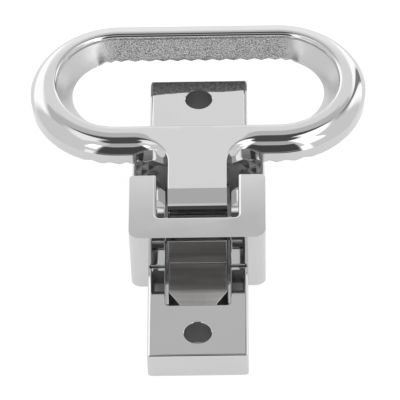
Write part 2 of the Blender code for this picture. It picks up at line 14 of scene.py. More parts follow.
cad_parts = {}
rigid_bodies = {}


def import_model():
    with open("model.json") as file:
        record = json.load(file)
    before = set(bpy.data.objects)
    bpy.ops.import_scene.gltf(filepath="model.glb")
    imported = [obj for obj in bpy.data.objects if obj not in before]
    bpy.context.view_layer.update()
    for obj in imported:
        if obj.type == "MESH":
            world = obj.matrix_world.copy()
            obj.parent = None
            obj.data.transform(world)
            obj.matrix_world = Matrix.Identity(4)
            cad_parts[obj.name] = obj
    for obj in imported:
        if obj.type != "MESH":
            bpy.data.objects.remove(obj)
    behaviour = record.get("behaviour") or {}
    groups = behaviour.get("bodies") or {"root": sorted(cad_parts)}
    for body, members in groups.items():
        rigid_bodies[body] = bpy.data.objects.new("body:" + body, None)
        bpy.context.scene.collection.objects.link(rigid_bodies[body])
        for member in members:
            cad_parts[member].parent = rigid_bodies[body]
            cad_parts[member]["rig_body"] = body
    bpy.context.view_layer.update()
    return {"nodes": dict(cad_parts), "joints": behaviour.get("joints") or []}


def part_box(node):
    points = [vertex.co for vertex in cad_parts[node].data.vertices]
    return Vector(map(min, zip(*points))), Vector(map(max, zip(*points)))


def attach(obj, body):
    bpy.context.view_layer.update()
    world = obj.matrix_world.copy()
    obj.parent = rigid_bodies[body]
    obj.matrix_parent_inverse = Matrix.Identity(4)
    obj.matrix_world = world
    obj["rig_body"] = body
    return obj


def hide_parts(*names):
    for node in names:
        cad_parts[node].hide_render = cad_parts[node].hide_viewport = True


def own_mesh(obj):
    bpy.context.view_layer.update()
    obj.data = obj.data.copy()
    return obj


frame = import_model()

MM = 0.001


def corners_mm(node):
    """Lowest and highest corner of a CAD node in millimetres, before the move into the latch frame."""
    low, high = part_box(node)
    return low / MM, high / MM


JOINTS = {joint["name"]: joint for joint in frame["joints"]}
BODY_LOW, BODY_HIGH = corners_mm("latch_body")
KEEPER_LOW, KEEPER_HIGH = corners_mm("keeper")
BOLT_LOW, BOLT_HIGH = corners_mm("slide_bolt")
PLATE_LOW, PLATE_HIGH = corners_mm("retainer_plate")
BUMPER_LOW, BUMPER_HIGH = corners_mm("handle_bumper")
SPRING_LOW, SPRING_HIGH = corners_mm("bolt_spring_right")
SEAM = (BODY_LOW.y + KEEPER_HIGH.y) / 2      # where the latch frame starts along Y

# Base bars
BAR_HALF = KEEPER_HIGH.x
BAR_TOP = KEEPER_HIGH.z
KEEPER_END = KEEPER_LOW.y - SEAM
KEEPER_SEAM = KEEPER_HIGH.y - SEAM
BODY_SEAM = BODY_LOW.y - SEAM
BODY_END = BODY_HIGH.y - SEAM
BAR_CORNER = 1.1
BAR_EDGE = 1.0
SEAM_CORNER = 0.5
SLOT_HALF = 8.25
SLOT_CORNER = 1.1
KEEPER_SLOT = 12.9
BODY_SLOT = 28.2
KEEPER_FLOOR = 1.05
MORTISE_HALF, MORTISE_DEPTH, MORTISE_TOP = 5.3, 2.4, 5.6
HOLE_RADIUS = 3.5
HOLE_RIM = 0.12
KEEPER_HOLE_Y = -22.1
BODY_HOLE_Y = 58.6

# Cheeks and bridge
CHEEK_FOOT = 17.1
CHEEK_TOP = BODY_HIGH.x
BRIDGE_TOP = BODY_HIGH.z
BRIDGE_UNDERSIDE = 16.0
BRIDGE_LENGTH = 21.6
BRIDGE_BAR = 7.25
BRIDGE_SLOT = 10.45
LIP_HEIGHT = 1.1
BACK_CHAMFER = 1.2
PASSAGE_FOOT = 12.6
PASSAGE_TOP = 11.4
WIDE_END = 40.0
FRONT_CORNER = 2.8
TOP_EDGE = 1.1
TOP_ROUND = 0.6      # rounding of the upper edges across the bars' ends
SLOT_RIM = 0.3
REFLECTION_STRIP_START = 60.95   # where the dark strip at the far end of the body begins, a painted reflection of the ring's underside
REFLECTION_STRIP_LEAN = -0.045   # how the strip's border runs off square, in mm along the latch for each across
BRIDGE_RIM = 0.7     # rounding of the bridge's inner edge

# Hinge and crank
PIVOT_Y = JOINTS["handle_lift"]["pos_m"][1] / MM - SEAM
PIVOT_Z = JOINTS["handle_lift"]["pos_m"][2] / MM
DRIVE_Y = JOINTS["roller_spin"]["pos_m"][1] / MM - SEAM
DRIVE_Z = JOINTS["roller_spin"]["pos_m"][2] / MM
BOSS_RADIUS = 4.0
BOSS_FACE = 8.6
PIN_RADIUS = 1.4
PIN_END = 16.4
PIN_CHAMFER = 0.3
HEAD_RADIUS = 2.9
HEAD_SEAT = 15.5
HEAD_ROUND = 0.5
GROOVE_RADIUS = 1.0
CLIP_X = 15.7
CLIP_THICKNESS = 0.4
CLIP_RADIUS = 2.5
CLIP_MOUTH = (0.8, 1.3)      # half width of the clip's mouth at the pin and at the open end
KNUCKLE_RADIUS = 3.4
BUSH_RADIUS = 2.2
BUSH_GAP = 0.15
GAP = 0.2
EAR_INNER, EAR_OUTER = 2.3, 4.3
EAR_RADIUS = 1.6
DRIVE_PIN_RADIUS = 0.8
DRIVE_PIN_END = EAR_OUTER + 0.3
ROLLER_RADIUS = 1.8

# Handle: the ring's section is measured outwards from the rim of its finger opening
NECK_HALF = 7.55
BUSH_ENDS = (0.3, NECK_HALF - 0.1)   # distances of a bush's ends from the middle
NECK_ROUND = 0.3
NECK_UNDERSIDE = 12.6
NECK_FLAT_END = 17.0
NECK_END = 12.2
NECK_BEVEL = (13.6, 16.4)
NECK_LEDGE = (12.85, 16.4)
NECK_NOSE = ((12.2, 15.75), (12.2, 15.4), (12.5, 14.9), (13.4, 14.2))
NECK_FILLET = 9.5
WEB = (1.2, 5.2, 8.0)    # behind the pivot: the web's front, its back, and where it meets the neck
WEB_ROOT = 14.5          # how high the web runs up inside the neck
RING_STRAIGHT = 20.6
RIM_Y = 55.87
RIM_RADIUS = 16.2
RIM_ROUND = 1.0
RIM_DROP = 1.1
WALL_LEAN = 3.85
EDGE_Y = 55.1
EDGE_RADIUS = 19.2
CREASE_Y = 54.43
CREASE_RADIUS = 23.12
SHOULDER_DROP = 2.7
SHOULDER_TURN = math.radians(60)
RING_BACK = 11.75
HANDLE_SLOPE = math.tan(math.radians(0.5))   # the ring's front face falls a little towards the far end
CROWN = 0.035
GRAIN_END = 24.0     # how far from the middle the blasted stretch inside the far bar runs
GRIP_PITCH = 3.7
GRIP_DEPTH = 0.75
GRIP_END = 0.42      # how far round each end the grip pattern runs, in radians
GRIP_FADE = 0.12

# Bolt
BOLT_HALF = BOLT_HIGH.x
BOLT_BOTTOM = BOLT_LOW.z
BOLT_TIP = BOLT_LOW.y - SEAM
TAIL_END = BOLT_HIGH.y - SEAM
SHOULDER_TOP = BOLT_HIGH.z
BOLT_TOP = 7.5
TAIL_TOP = 6.25
STEP_Y = 4.8
SHOULDER_FRONT = 1.45
GUSSET = (3.1, 11.0, 9.0)
BEVEL_START = -8.2
BOLT_TIP_TOP = 4.35
BOLT_ROUND = 0.3         # rounding of the shoulder's and the tip's edges
BEVEL_ROUND = 2.6        # rounding where the bevel starts
NOSE_START, NOSE_END, NOSE_HALF = -8.3, -11.1, 4.8
WINDOW_PLAY = 0.35
SPRING_X = (SPRING_LOW.x + SPRING_HIGH.x) / 2
SPRING_Z = (SPRING_LOW.z + SPRING_HIGH.z) / 2
SPRING_BORE = 1.5
SPRING_SEAT = 15.2
SPRING_WIRE = 0.22
SPRING_RADIUS = 1.08
SPRING_TURNS = 9
GUIDE_RADIUS = 0.6
GUIDE_START = 20.03
GUIDE_END = 32.0

# Retainer plate and its screws
PLATE_HALF = PLATE_HIGH.x
PLATE_CORNER = 2.0
SCREW_X = 12.2
SCREW_YS = (4.6, 19.2)
SCREW_RADIUS = 1.2
SCREW_HEAD = 2.1
SCREW_TOP = 5.8
SCREW_BOTTOM = 0.1
THREAD_PITCH = 0.5
THREAD_DEPTH = 0.2
RECESS_LENGTH = 1.2
RECESS_WIDTH = 0.25
RECESS_DEPTH = 0.6

BUMPER_Y = (BUMPER_LOW.y + BUMPER_HIGH.y) / 2 - SEAM
BUMPER_RADIUS = 2.6
BUMPER_ROUND = 0.9   # rounding of the button's top
STEM_RADIUS = 1.4

# Fineness
REACH = 1.0          # how far a cutting shape runs past the face it opens
ARC_STEPS = 10       # facets in a rounded corner
ROUND_STEPS = 96     # facets round a shaft or hole
COIL_STEPS = 40
WIRE_SIDES = 12
SHARP_ANGLE = math.radians(20)
EDGE_ANGLE = math.radians(32)


# ---------------------------------------------------------------- outlines

def arc(centre, radius, start, end, steps=ARC_STEPS):
    """Points along an arc, angles in degrees."""
    angles = [math.radians(start + (end - start) * k / steps) for k in range(steps + 1)]
    return [(centre[0] + radius * math.cos(a), centre[1] + radius * math.sin(a)) for a in angles]


def rounded(corners, steps=ARC_STEPS):
    """A closed outline from (a, b, radius) corners, each rounded to its radius."""
    points = []
    for k, (x, y, radius) in enumerate(corners):
        if radius == 0:
            points.append((x, y))
            continue
        before = corners[k - 1]
        after = corners[(k + 1) % len(corners)]
        come = math.atan2(before[1] - y, before[0] - x)
        leave = math.atan2(after[1] - y, after[0] - x)
        turn = (leave - come + math.pi) % (2 * math.pi) - math.pi
        away = radius / math.sin(abs(turn) / 2)
        middle = come + turn / 2
        centre = (x + away * math.cos(middle), y + away * math.sin(middle))
        sweep = math.copysign(math.pi - abs(turn), -turn)
        first = middle + math.pi - sweep / 2
        points += arc(centre, radius, math.degrees(first), math.degrees(first + sweep), steps)
    return points


def box_outline(half_width, low, high, radius):
    """A rectangle about the middle line, from low to high, with equal corners."""
    return rounded([(-half_width, low, radius), (half_width, low, radius),
                    (half_width, high, radius), (-half_width, high, radius)])


# ---------------------------------------------------------------- solids

PLACES = {
    "X": lambda a, b, c: (c, a, b),
    "Y": lambda a, b, c: (a, c, b),
    "Z": lambda a, b, c: (a, b, c),
}


def point(x, y, z):
    """A latch-frame point in scene metres."""
    return Vector((x, y + SEAM, z)) * MM


def solid(bm, name="tool"):
    """Put a finished bmesh in the scene as an object."""
    bmesh.ops.recalc_face_normals(bm, faces=bm.faces)
    mesh = bpy.data.meshes.new(name)
    bm.to_mesh(mesh)
    bm.free()
    piece = bpy.data.objects.new(name, mesh)
    bpy.context.scene.collection.objects.link(piece)
    return piece


def bridge_rings(bm, rings, closed):
    """Skin neighbouring rings of vertices; a closed set joins its last ring to its first."""
    pairs = list(zip(rings, rings[1:]))
    if closed:
        pairs.append((rings[-1], rings[0]))
    for low, high in pairs:
        count = max(len(low), len(high))
        for k in range(count):
            nxt = (k + 1) % count
            corners = [low[k % len(low)], low[nxt % len(low)], high[nxt % len(high)], high[k % len(high)]]
            bm.faces.new(list(dict.fromkeys(corners)))


def prism(outline, axis, low, high):
    """An outline pushed along an axis. It is (y, z) for X, (x, z) for Y and (x, y) for Z."""
    place = PLACES[axis]
    bm = bmesh.new()
    rings = [[bm.verts.new(point(*place(a, b, c))) for a, b in outline] for c in (low, high)]
    bm.faces.new(rings[0])
    bm.faces.new(rings[1])
    bridge_rings(bm, rings, closed=False)
    return solid(bm)


def turned(profile, axis, centre, closed=False):
    """A profile of (along, radius) points turned about an axis through centre."""
    place = PLACES[axis]
    bm = bmesh.new()
    rings = []
    for along, radius in profile:
        count = ROUND_STEPS if radius > 0 else 1
        angles = [2 * math.pi * k / count for k in range(count)]
        rings.append([bm.verts.new(point(*place(centre[0] + radius * math.cos(a),
                                                centre[1] + radius * math.sin(a), along)))
                      for a in angles])
    bridge_rings(bm, rings, closed)
    return solid(bm)


def rod(axis, centre, radius, low, high):
    """A plain round bar along an axis."""
    return turned([(low, 0), (low, radius), (high, radius), (high, 0)], axis, centre)


def tube(axis, centre, inner, outer, low, high, edge):
    """A round sleeve along an axis with its four edges broken."""
    profile = [(low, inner + edge), (low, outer - edge), (low + edge, outer), (high - edge, outer),
               (high, outer - edge), (high, inner + edge), (high - edge, inner), (low + edge, inner)]
    return turned(profile, axis, centre, closed=True)


def combine(target, tool, operation):
    """Join, cut or keep the overlap of two solids; the second one is used up."""
    step = target.modifiers.new(operation.lower(), "BOOLEAN")
    step.solver = "EXACT"
    step.operation = operation
    step.object = tool
    state = bpy.context.evaluated_depsgraph_get()
    result = bpy.data.meshes.new_from_object(target.evaluated_get(state))
    target.modifiers.clear()
    target.data = result
    bpy.data.objects.remove(tool)


def join(target, *tools):
    for tool in tools:
        combine(target, tool, "UNION")


def cut(target, *tools):
    for tool in tools:
        combine(target, tool, "DIFFERENCE")


def trim(target, tool):
    combine(target, tool, "INTERSECT")


def soften(piece, chosen, width, segments=4):
    """Round the edges of a piece that chosen accepts, from their two ends in the latch frame."""
    bm = bmesh.new()
    bm.from_mesh(piece.data)
    bmesh.ops.remove_doubles(bm, verts=bm.verts, dist=1e-7)
    bmesh.ops.dissolve_limit(bm, angle_limit=math.radians(0.5), verts=bm.verts, edges=bm.edges)
    away = Vector((0, SEAM, 0))
    edges = [edge for edge in bm.edges
             if len(edge.link_faces) == 2 and edge.calc_face_angle(0) > EDGE_ANGLE
             and chosen(*(end.co / MM - away for end in edge.verts))]
    bmesh.ops.bevel(bm, geom=edges, offset=width * MM, offset_type="OFFSET", segments=segments,
                    profile=0.5, affect="EDGES", clamp_overlap=True)
    bm.to_mesh(piece.data)
    bm.free()


def finish(piece, node, material, bevel=0.0):
    """Name a piece, let it stand for its CAD node and ride on that node's body, and shade it."""
    piece.name = node + "_fine"
    piece.data.name = piece.name
    piece.data.materials.clear()
    piece.data.materials.append(material)
    piece.data.shade_smooth()
    piece.data.set_sharp_from_angle(angle=SHARP_ANGLE)
    if bevel:
        step = piece.modifiers.new("edges", "BEVEL")
        step.width = bevel * MM
        step.segments = 3
        step.limit_method = "ANGLE"
        step.angle_limit = EDGE_ANGLE
        step.harden_normals = False
        step.use_clamp_overlap = True
    weigh = piece.modifiers.new("normals", "WEIGHTED_NORMAL")
    weigh.keep_sharp = True
    weigh.weight = 100
    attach(piece, frame["nodes"][node]["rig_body"])
    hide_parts(node)
    return piece


# ---------------------------------------------------------------- materials

class Graph:
    """Short calls that add nodes to a material or to the world."""

    def __init__(self, owner):
        owner.use_nodes = True
        self.tree = owner.node_tree

    def node(self, kind, **settings):
        made = self.tree.nodes.new(kind)
        for key, value in settings.items():
            setattr(made, key, value)
        return made

    def link(self, source, target):
        self.tree.links.new(source, target)

    def span(self, value, low, high, start=0.0, end=1.0):
        """Map a value from one range to another, clamped."""
        ranged = self.node("ShaderNodeMapRange")
        ranged.inputs["From Min"].default_value = start
        ranged.inputs["From Max"].default_value = end
        ranged.inputs["To Min"].default_value = low
        ranged.inputs["To Max"].default_value = high
        self.link(value, ranged.inputs["Value"])
        return ranged.outputs["Result"]

    def mask(self, name):
        return self.node("ShaderNodeAttribute", attribute_name=name).outputs["Fac"]

    def times(self, first, second):
        product = self.node("ShaderNodeMath", operation="MULTIPLY")
        self.link(first, product.inputs[0])
        self.link(second, product.inputs[1])
        return product.outputs[0]

    def plus(self, first, second):
        total = self.node("ShaderNodeMath", operation="ADD")
        self.link(first, total.inputs[0])
        self.link(second, total.inputs[1])
        return total.outputs[0]


class Shader(Graph):
    """A Principled material."""

    def __init__(self, name, colour, metallic, roughness):
        self.material = bpy.data.materials.new(name)
        super().__init__(self.material)
        self.main = self.tree.nodes["Principled BSDF"]
        self.main.inputs["Base Color"].default_value = (*colour, 1)
        self.main.inputs["Metallic"].default_value = metallic
        self.main.inputs["Roughness"].default_value = roughness

    def noise(self, scale, detail=2.0, stretch=(1, 1, 1), roughness=0.5):
        """Noise in object space; scale counts features in a metre."""
        coords = self.node("ShaderNodeTexCoord")
        mapping = self.node("ShaderNodeMapping")
        mapping.inputs["Scale"].default_value = stretch
        texture = self.node("ShaderNodeTexNoise")
        texture.inputs["Scale"].default_value = scale
        texture.inputs["Detail"].default_value = detail
        texture.inputs["Roughness"].default_value = roughness
        self.link(coords.outputs["Object"], mapping.inputs["Vector"])
        self.link(mapping.outputs["Vector"], texture.inputs["Vector"])
        return texture.outputs["Fac"]

    def blend(self, value, first, second):
        """Colour between two colours or colour outputs by a value."""
        mix = self.node("ShaderNodeMix", data_type="RGBA")
        self.link(value, mix.inputs[0])
        for colour, place in ((first, mix.inputs[6]), (second, mix.inputs[7])):
            if isinstance(colour, tuple):
                place.default_value = (*colour, 1)
            else:
                self.link(colour, place)
        return mix.outputs[2]

    def tint(self, value, dark, light):
        """Base colour between two tones by a value."""
        self.link(self.blend(value, dark, light), self.main.inputs["Base Color"])

    def past(self, direction, start, waver):
        """0 before start and 1 after it, in mm along a direction in object space, with a wavering border."""
        along = self.node("ShaderNodeVectorMath", operation="DOT_PRODUCT")
        along.inputs[1].default_value = direction
        self.link(self.node("ShaderNodeTexCoord").outputs["Object"], along.inputs[0])
        place = self.plus(along.outputs["Value"], self.span(self.noise(150, 2), -waver * MM, waver * MM))
        return self.span(place, 0.0, 1.0, (start - 0.15) * MM, (start + 0.15) * MM)

    def rough(self, value):
        self.link(value, self.main.inputs["Roughness"])

    def bump(self, *layers):
        """Stack bump layers of (height, distance in mm, strength)."""
        normal = None
        for height, distance, strength in layers:
            made = self.node("ShaderNodeBump")
            made.inputs["Distance"].default_value = distance * MM
            made.inputs["Strength"].default_value = strength
            self.link(height, made.inputs["Height"])
            if normal:
                self.link(normal, made.inputs["Normal"])
            normal = made.outputs["Normal"]
        self.link(normal, self.main.inputs["Normal"])


def make_chrome():
    """Polished chrome plate; masks give raw dark faces, rougher and darkened as painted shade, a satin wall,
    a coarse blasted grain and a dark strip across the far end of the body, a painted reflection of the ring's
    underside."""
    clean = (0.57, 0.57, 0.57)
    shader = Shader("chrome_plate", clean, 1.0, 0.05)
    raw_and_shade = shader.mask("raw_and_shade")
    grain = shader.mask("grain")
    satin = shader.mask("satin")
    # painted reflection: a dark, rougher strip across the far top of the body standing in for the ring's
    # underside mirrored there
    painted_reflection = shader.times(shader.mask("painted_reflection"), shader.past((REFLECTION_STRIP_LEAN, 1, 0), REFLECTION_STRIP_START + SEAM, 0.6))
    haze = shader.span(shader.noise(90, 3), 0.035, 0.075, 0.3, 0.7)
    brushed = shader.times(satin, shader.span(shader.noise(900, 2), 0.24, 0.38))
    dull = shader.plus(shader.span(raw_and_shade, 0.0, 0.45), shader.span(painted_reflection, 0.0, 0.35))
    shader.rough(shader.plus(shader.plus(haze, brushed), dull))
    speck = shader.noise(3000, 2, roughness=0.7)
    pits = shader.times(grain, shader.span(speck, 1.0, 0.0, 0.36, 0.60))
    plate = shader.blend(pits, clean, (0.16, 0.16, 0.16))
    # raw faces: rougher, and darkened to grey as painted shade in the bores, under the bridge and on the
    # handle's back
    plate_and_shade = shader.blend(raw_and_shade, plate, (0.42, 0.42, 0.42))
    # dark patchy tones of the painted reflection strip
    patchy = shader.blend(shader.span(shader.noise(1300, 3, roughness=0.7), 0.0, 1.0, 0.3, 0.7),
                          (0.08, 0.08, 0.08), (0.27, 0.27, 0.27))
    shader.link(shader.blend(painted_reflection, plate_and_shade, patchy), shader.main.inputs["Base Color"])
    grit = shader.times(grain, speck)
    lines = shader.times(satin, shader.noise(1500, 3))
    ripple = shader.noise(55, 1)
    shader.bump((ripple, 0.012, 0.6), (lines, 0.02, 0.6), (grit, 0.25, 1.0))
    return shader.material


def make_satin_steel():
    """Brushed steel of the bolt, its lines running across the latch."""
    shader = Shader("brushed_steel", (0.30, 0.30, 0.30), 1.0, 0.3)
    lines = shader.noise(700, 4, stretch=(0.03, 1.0, 1.0), roughness=0.65)
    blotch = shader.noise(160, 3)
    shader.tint(shader.times(lines, shader.span(blotch, 0.7, 1.2)), (0.20, 0.195, 0.195), (0.62, 0.61, 0.60))
    shader.rough(shader.span(lines, 0.22, 0.42))
    shader.bump((lines, 0.03, 0.5))
    return shader.material


def make_turned_steel():
    """Plain steel with fine turning marks and a light haze."""
    shader = Shader("turned_steel", (0.55, 0.55, 0.56), 1.0, 0.2)
    marks = shader.noise(1500, 3, stretch=(1.0, 0.05, 0.05))
    shader.tint(shader.noise(220, 3), (0.44, 0.44, 0.45), (0.62, 0.62, 0.63))
    shader.rough(shader.span(marks, 0.14, 0.30))
    shader.bump((marks, 0.01, 0.4))
    return shader.material


def make_zinc():
    """Zinc-plated sheet, faintly blue and spangled."""
    shader = Shader("zinc_plate_finish", (0.60, 0.62, 0.63), 1.0, 0.35)
    shader.tint(shader.noise(260, 4, roughness=0.7), (0.46, 0.48, 0.50), (0.68, 0.69, 0.70))
    shader.rough(shader.span(shader.noise(420, 3), 0.25, 0.48))
    shader.bump((shader.noise(1400, 3), 0.015, 0.5))
    return shader.material


def make_bronze():
    """Sintered bronze with open pores."""
    shader = Shader("sintered_bronze", (0.55, 0.36, 0.16), 1.0, 0.4)
    pores = shader.noise(3500, 2, roughness=0.8)
    shader.tint(shader.noise(300, 3), (0.36, 0.22, 0.10), (0.62, 0.42, 0.19))
    shader.rough(shader.span(pores, 0.3, 0.55))
    shader.bump((pores, 0.03, 0.6))
    return shader.material


def make_spring_steel():
    """Drawn spring wire, dark with a dull shine."""
    shader = Shader("spring_wire", (0.40, 0.40, 0.42), 1.0, 0.3)
    shader.tint(shader.noise(800, 3), (0.26, 0.26, 0.28), (0.50, 0.50, 0.51))
    shader.rough(shader.span(shader.noise(1800, 2), 0.2, 0.4))
    shader.bump((shader.noise(2500, 2), 0.01, 0.4))
    return shader.material


def make_rubber():
    """Moulded black rubber with a fine matt grain."""
    shader = Shader("moulded_rubber", (0.02, 0.02, 0.02), 0.0, 0.7)
    shader.tint(shader.noise(500, 3), (0.012, 0.012, 0.012), (0.035, 0.034, 0.033))
    shader.rough(shader.span(shader.noise(900, 2), 0.6, 0.85))
    shader.bump((shader.noise(2400, 3), 0.04, 0.5))
    return shader.material


def paint(piece, name, share):
    """Store share(x, y, z), from 0 to 1 in the latch frame, on the piece's vertices."""
    values = piece.data.attributes.new(name, "FLOAT", "POINT")
    for vertex, value in zip(piece.data.vertices, values.data):
        spot = vertex.co / MM
        value.value = share(spot.x, spot.y - SEAM, spot.z)


def paint_faces(piece, name, share):
    """Store share(centre, normal), from 0 to 1, on the piece's faces, the centre in the latch frame."""
    values = piece.data.attributes.new(name, "FLOAT", "FACE")
    away = Vector((0, SEAM, 0))
    for face, value in zip(piece.data.polygons, values.data):
        value.value = share(face.center / MM - away, face.normal)


def smooth_step(value, start, end):
    """0 before start, 1 after end, with a soft change between."""
    share = min(1.0, max(0.0, (value - start) / (end - start)))
    return share * share * (3 - 2 * share)


# ---------------------------------------------------------------- base castings

def bar_block(half_width, front, back, front_corner, back_corner):
    """A bar of the base: rounded upright corners and top edges."""
    section = rounded([(-half_width, 0, 0), (half_width, 0, 0),
                       (half_width, BAR_TOP, BAR_EDGE), (-half_width, BAR_TOP, BAR_EDGE)])
    plan = rounded([(-half_width, front, front_corner), (half_width, front, front_corner),
                    (half_width, back, back_corner), (-half_width, back, back_corner)])
    length = [(front, 0, 0), (back, 0, 0), (back, BAR_TOP, TOP_ROUND), (front, BAR_TOP, TOP_ROUND)]
    block = prism(plan, "Z", 0, BAR_TOP)
    trim(block, prism(section, "Y", front - REACH, back + REACH))
    trim(block, prism(rounded(length), "X", -half_width - REACH, half_width + REACH))
    return block


def flared_slot(half_width, front, back, bottom, top, rim):
    """A cutter for an upright slot with round corners whose rim is rounded over at the top."""
    bm = bmesh.new()
    steps = 5
    levels = [(bottom, 0.0)]
    levels += [(top - rim * (1 - math.sin(a)), rim * (1 - math.cos(a)))
               for a in (math.pi / 2 * k / steps for k in range(steps))]
    levels += [(top, rim), (top + REACH, rim)]
    rings = []
    for z, out in levels:
        outline = box_outline(half_width + out, front - out, back + out, SLOT_CORNER + out)
        rings.append([bm.verts.new(point(x, y, z)) for x, y in outline])
    bm.faces.new(rings[0])
    bm.faces.new(rings[-1])
    bridge_rings(bm, rings, closed=False)
    return solid(bm)


def screw_hole(y):
    """A cutter for a mounting hole with a slightly broken upper rim."""
    return turned([(-REACH, 0), (-REACH, HOLE_RADIUS), (BAR_TOP - HOLE_RIM, HOLE_RADIUS),
                   (BAR_TOP, HOLE_RADIUS + HOLE_RIM), (BAR_TOP + REACH, HOLE_RADIUS + HOLE_RIM + REACH),
                   (BAR_TOP + REACH, 0)], "Z", (0, y))


def in_hole(hole_y):
    """Mask of the raw wall inside a mounting hole, which the chrome darkens as painted shade."""
    def share(centre, normal):
        return float(math.hypot(centre.x, centre.y - hole_y) < HOLE_RADIUS + 0.05 and abs(normal.z) < 0.5)
    return share


def make_keeper(chrome):
    """Separate block whose lip the bolt's wedge slides under."""
    keeper = bar_block(BAR_HALF, KEEPER_END, KEEPER_SEAM, BAR_CORNER, SEAM_CORNER)
    cut(keeper, flared_slot(SLOT_HALF, -KEEPER_SLOT, 2 * REACH, KEEPER_FLOOR, BAR_TOP, SLOT_RIM))
    mortise = box_outline(MORTISE_HALF, -KEEPER_SLOT - MORTISE_DEPTH, -KEEPER_SLOT + REACH, 0)
    cut(keeper, prism(mortise, "Z", KEEPER_FLOOR, MORTISE_TOP))
    cut(keeper, screw_hole(KEEPER_HOLE_Y))
    paint_faces(keeper, "raw_and_shade", in_hole(KEEPER_HOLE_Y))
    finish(keeper, "keeper", chrome, bevel=0.12)


def make_latch_body(chrome):
    """Casting that carries the hinge, the bridge and the bolt's slot."""
    arch = prism(rounded([(-CHEEK_FOOT, 0, 0), (CHEEK_FOOT, 0, 0),
                          (CHEEK_TOP, BRIDGE_TOP, 0), (-CHEEK_TOP, BRIDGE_TOP, 0)]),
                 "Y", BODY_SEAM, BRIDGE_LENGTH)
    plan = rounded([(-CHEEK_TOP, BODY_SEAM, FRONT_CORNER), (CHEEK_TOP, BODY_SEAM, FRONT_CORNER),
                    (CHEEK_TOP, BRIDGE_LENGTH, TOP_EDGE), (-CHEEK_TOP, BRIDGE_LENGTH, TOP_EDGE)])
    trim(arch, prism(plan, "Z", -REACH, BRIDGE_TOP + REACH))

    def upper_edge(first, second):
        on_top = min(first.z, second.z) > BRIDGE_TOP - 0.01
        at_front = max(first.y, second.y) < BODY_SEAM + 0.4
        return on_top and not at_front
    soften(arch, upper_edge, TOP_EDGE, segments=6)
    cut(arch, flared_slot(BRIDGE_SLOT, BRIDGE_BAR, BRIDGE_LENGTH + 4 * REACH,
                          BRIDGE_UNDERSIDE - REACH, BRIDGE_TOP, BRIDGE_RIM))

    passage = [(-PASSAGE_FOOT, -REACH), (PASSAGE_FOOT, -REACH),
               (PASSAGE_TOP, BRIDGE_UNDERSIDE), (-PASSAGE_TOP, BRIDGE_UNDERSIDE)]
    cut(arch, prism(passage, "Y", -REACH, BRIDGE_LENGTH + REACH))
    lip = BRIDGE_TOP - LIP_HEIGHT
    run = lip - BRIDGE_UNDERSIDE
    under_lip = [(BODY_SEAM - REACH, lip + REACH), (BODY_SEAM + run + REACH, BRIDGE_UNDERSIDE - REACH),
                 (BODY_SEAM - REACH, BRIDGE_UNDERSIDE - REACH)]
    cut(arch, prism(under_lip, "X", -PASSAGE_TOP, PASSAGE_TOP))
    behind_bar = [(BRIDGE_BAR + REACH, BRIDGE_UNDERSIDE + BACK_CHAMFER + REACH),
                  (BRIDGE_BAR - BACK_CHAMFER - REACH, BRIDGE_UNDERSIDE - REACH),
                  (BRIDGE_BAR + REACH, BRIDGE_UNDERSIDE - REACH)]
    cut(arch, prism(behind_bar, "X", -BRIDGE_SLOT, BRIDGE_SLOT))

    body = bar_block(BAR_HALF, BODY_SEAM, BODY_END, SEAM_CORNER, BAR_CORNER)
    join(body, bar_block(CHEEK_FOOT, BODY_SEAM, WIDE_END, FRONT_CORNER, FRONT_CORNER), arch)
    cut(body, flared_slot(SLOT_HALF, -REACH * 2, BODY_SLOT, -REACH, BAR_TOP, SLOT_RIM))

    pivot = (PIVOT_Y, PIVOT_Z)
    wall = PASSAGE_FOOT + REACH
    outside = CHEEK_TOP + REACH
    for side in (-1, 1):
        join(body, rod("X", pivot, BOSS_RADIUS, *sorted((side * BOSS_FACE, side * wall))))
        cut(body, rod("X", pivot, HEAD_RADIUS + GAP, *sorted((side * HEAD_SEAT, side * outside))))
    cut(body, rod("X", pivot, PIN_RADIUS + GAP, -outside, outside))

    cut(body, prism(box_outline(PLATE_HALF + GAP, PLATE_LOW.y - SEAM - GAP, PLATE_HIGH.y - SEAM + GAP,
                                PLATE_CORNER), "Z", -REACH, PLATE_HIGH.z + GAP))
    for x in (-SCREW_X, SCREW_X):
        for y in SCREW_YS:
            cut(body, rod("Z", (x, y), SCREW_RADIUS + GAP, PLATE_HIGH.z, SCREW_TOP + 2 * GAP))
    for x in (-SPRING_X, SPRING_X):
        cut(body, rod("Y", (x, SPRING_Z), GUIDE_RADIUS + GAP, BODY_SLOT - REACH, GUIDE_END + GAP))
    cut(body, rod("Z", (0, BUMPER_Y), STEM_RADIUS + GAP, BUMPER_LOW.z - GAP, BAR_TOP + REACH))
    cut(body, screw_hole(BODY_HOLE_Y))
    bore = in_hole(BODY_HOLE_Y)

    def raw_and_shade(centre, normal):
        """The bore, and the duller faces inside the passage that no polishing wheel reaches; the chrome also
        darkens them as painted shade.
        """
        inside = abs(centre.x) < PASSAGE_TOP and BRIDGE_LENGTH > centre.y > BODY_SEAM
        hidden = inside and normal.z < 0.2 and centre.z > BAR_TOP + 0.1
        return max(bore(centre, normal), 0.6 * float(hidden))
    paint_faces(body, "raw_and_shade", raw_and_shade)

    def far_top(centre, normal):
        """The top of the far bar with its rounded edges, where the painted reflection strip lies."""
        return float(centre.y > BRIDGE_LENGTH and normal.z > 0.05 and centre.z > BAR_TOP - 1.2)
    paint_faces(body, "painted_reflection", far_top)
    finish(body, "latch_body", chrome, bevel=0.15)


# ---------------------------------------------------------------- handle

def grip(along, across):
    """Height of the grip's diamond pyramids, 0 in the valleys and 1 at the points."""
    first = (along + across) % 1.0
    second = (along - across) % 1.0
    return 1 - 2 * max(abs(first - 0.5), abs(second - 0.5))


def shoulder_width(way):
    """Width of the outer shoulder where the ring faces the given way."""
    return CREASE_RADIUS - EDGE_RADIUS - (EDGE_Y - CREASE_Y) * way.y


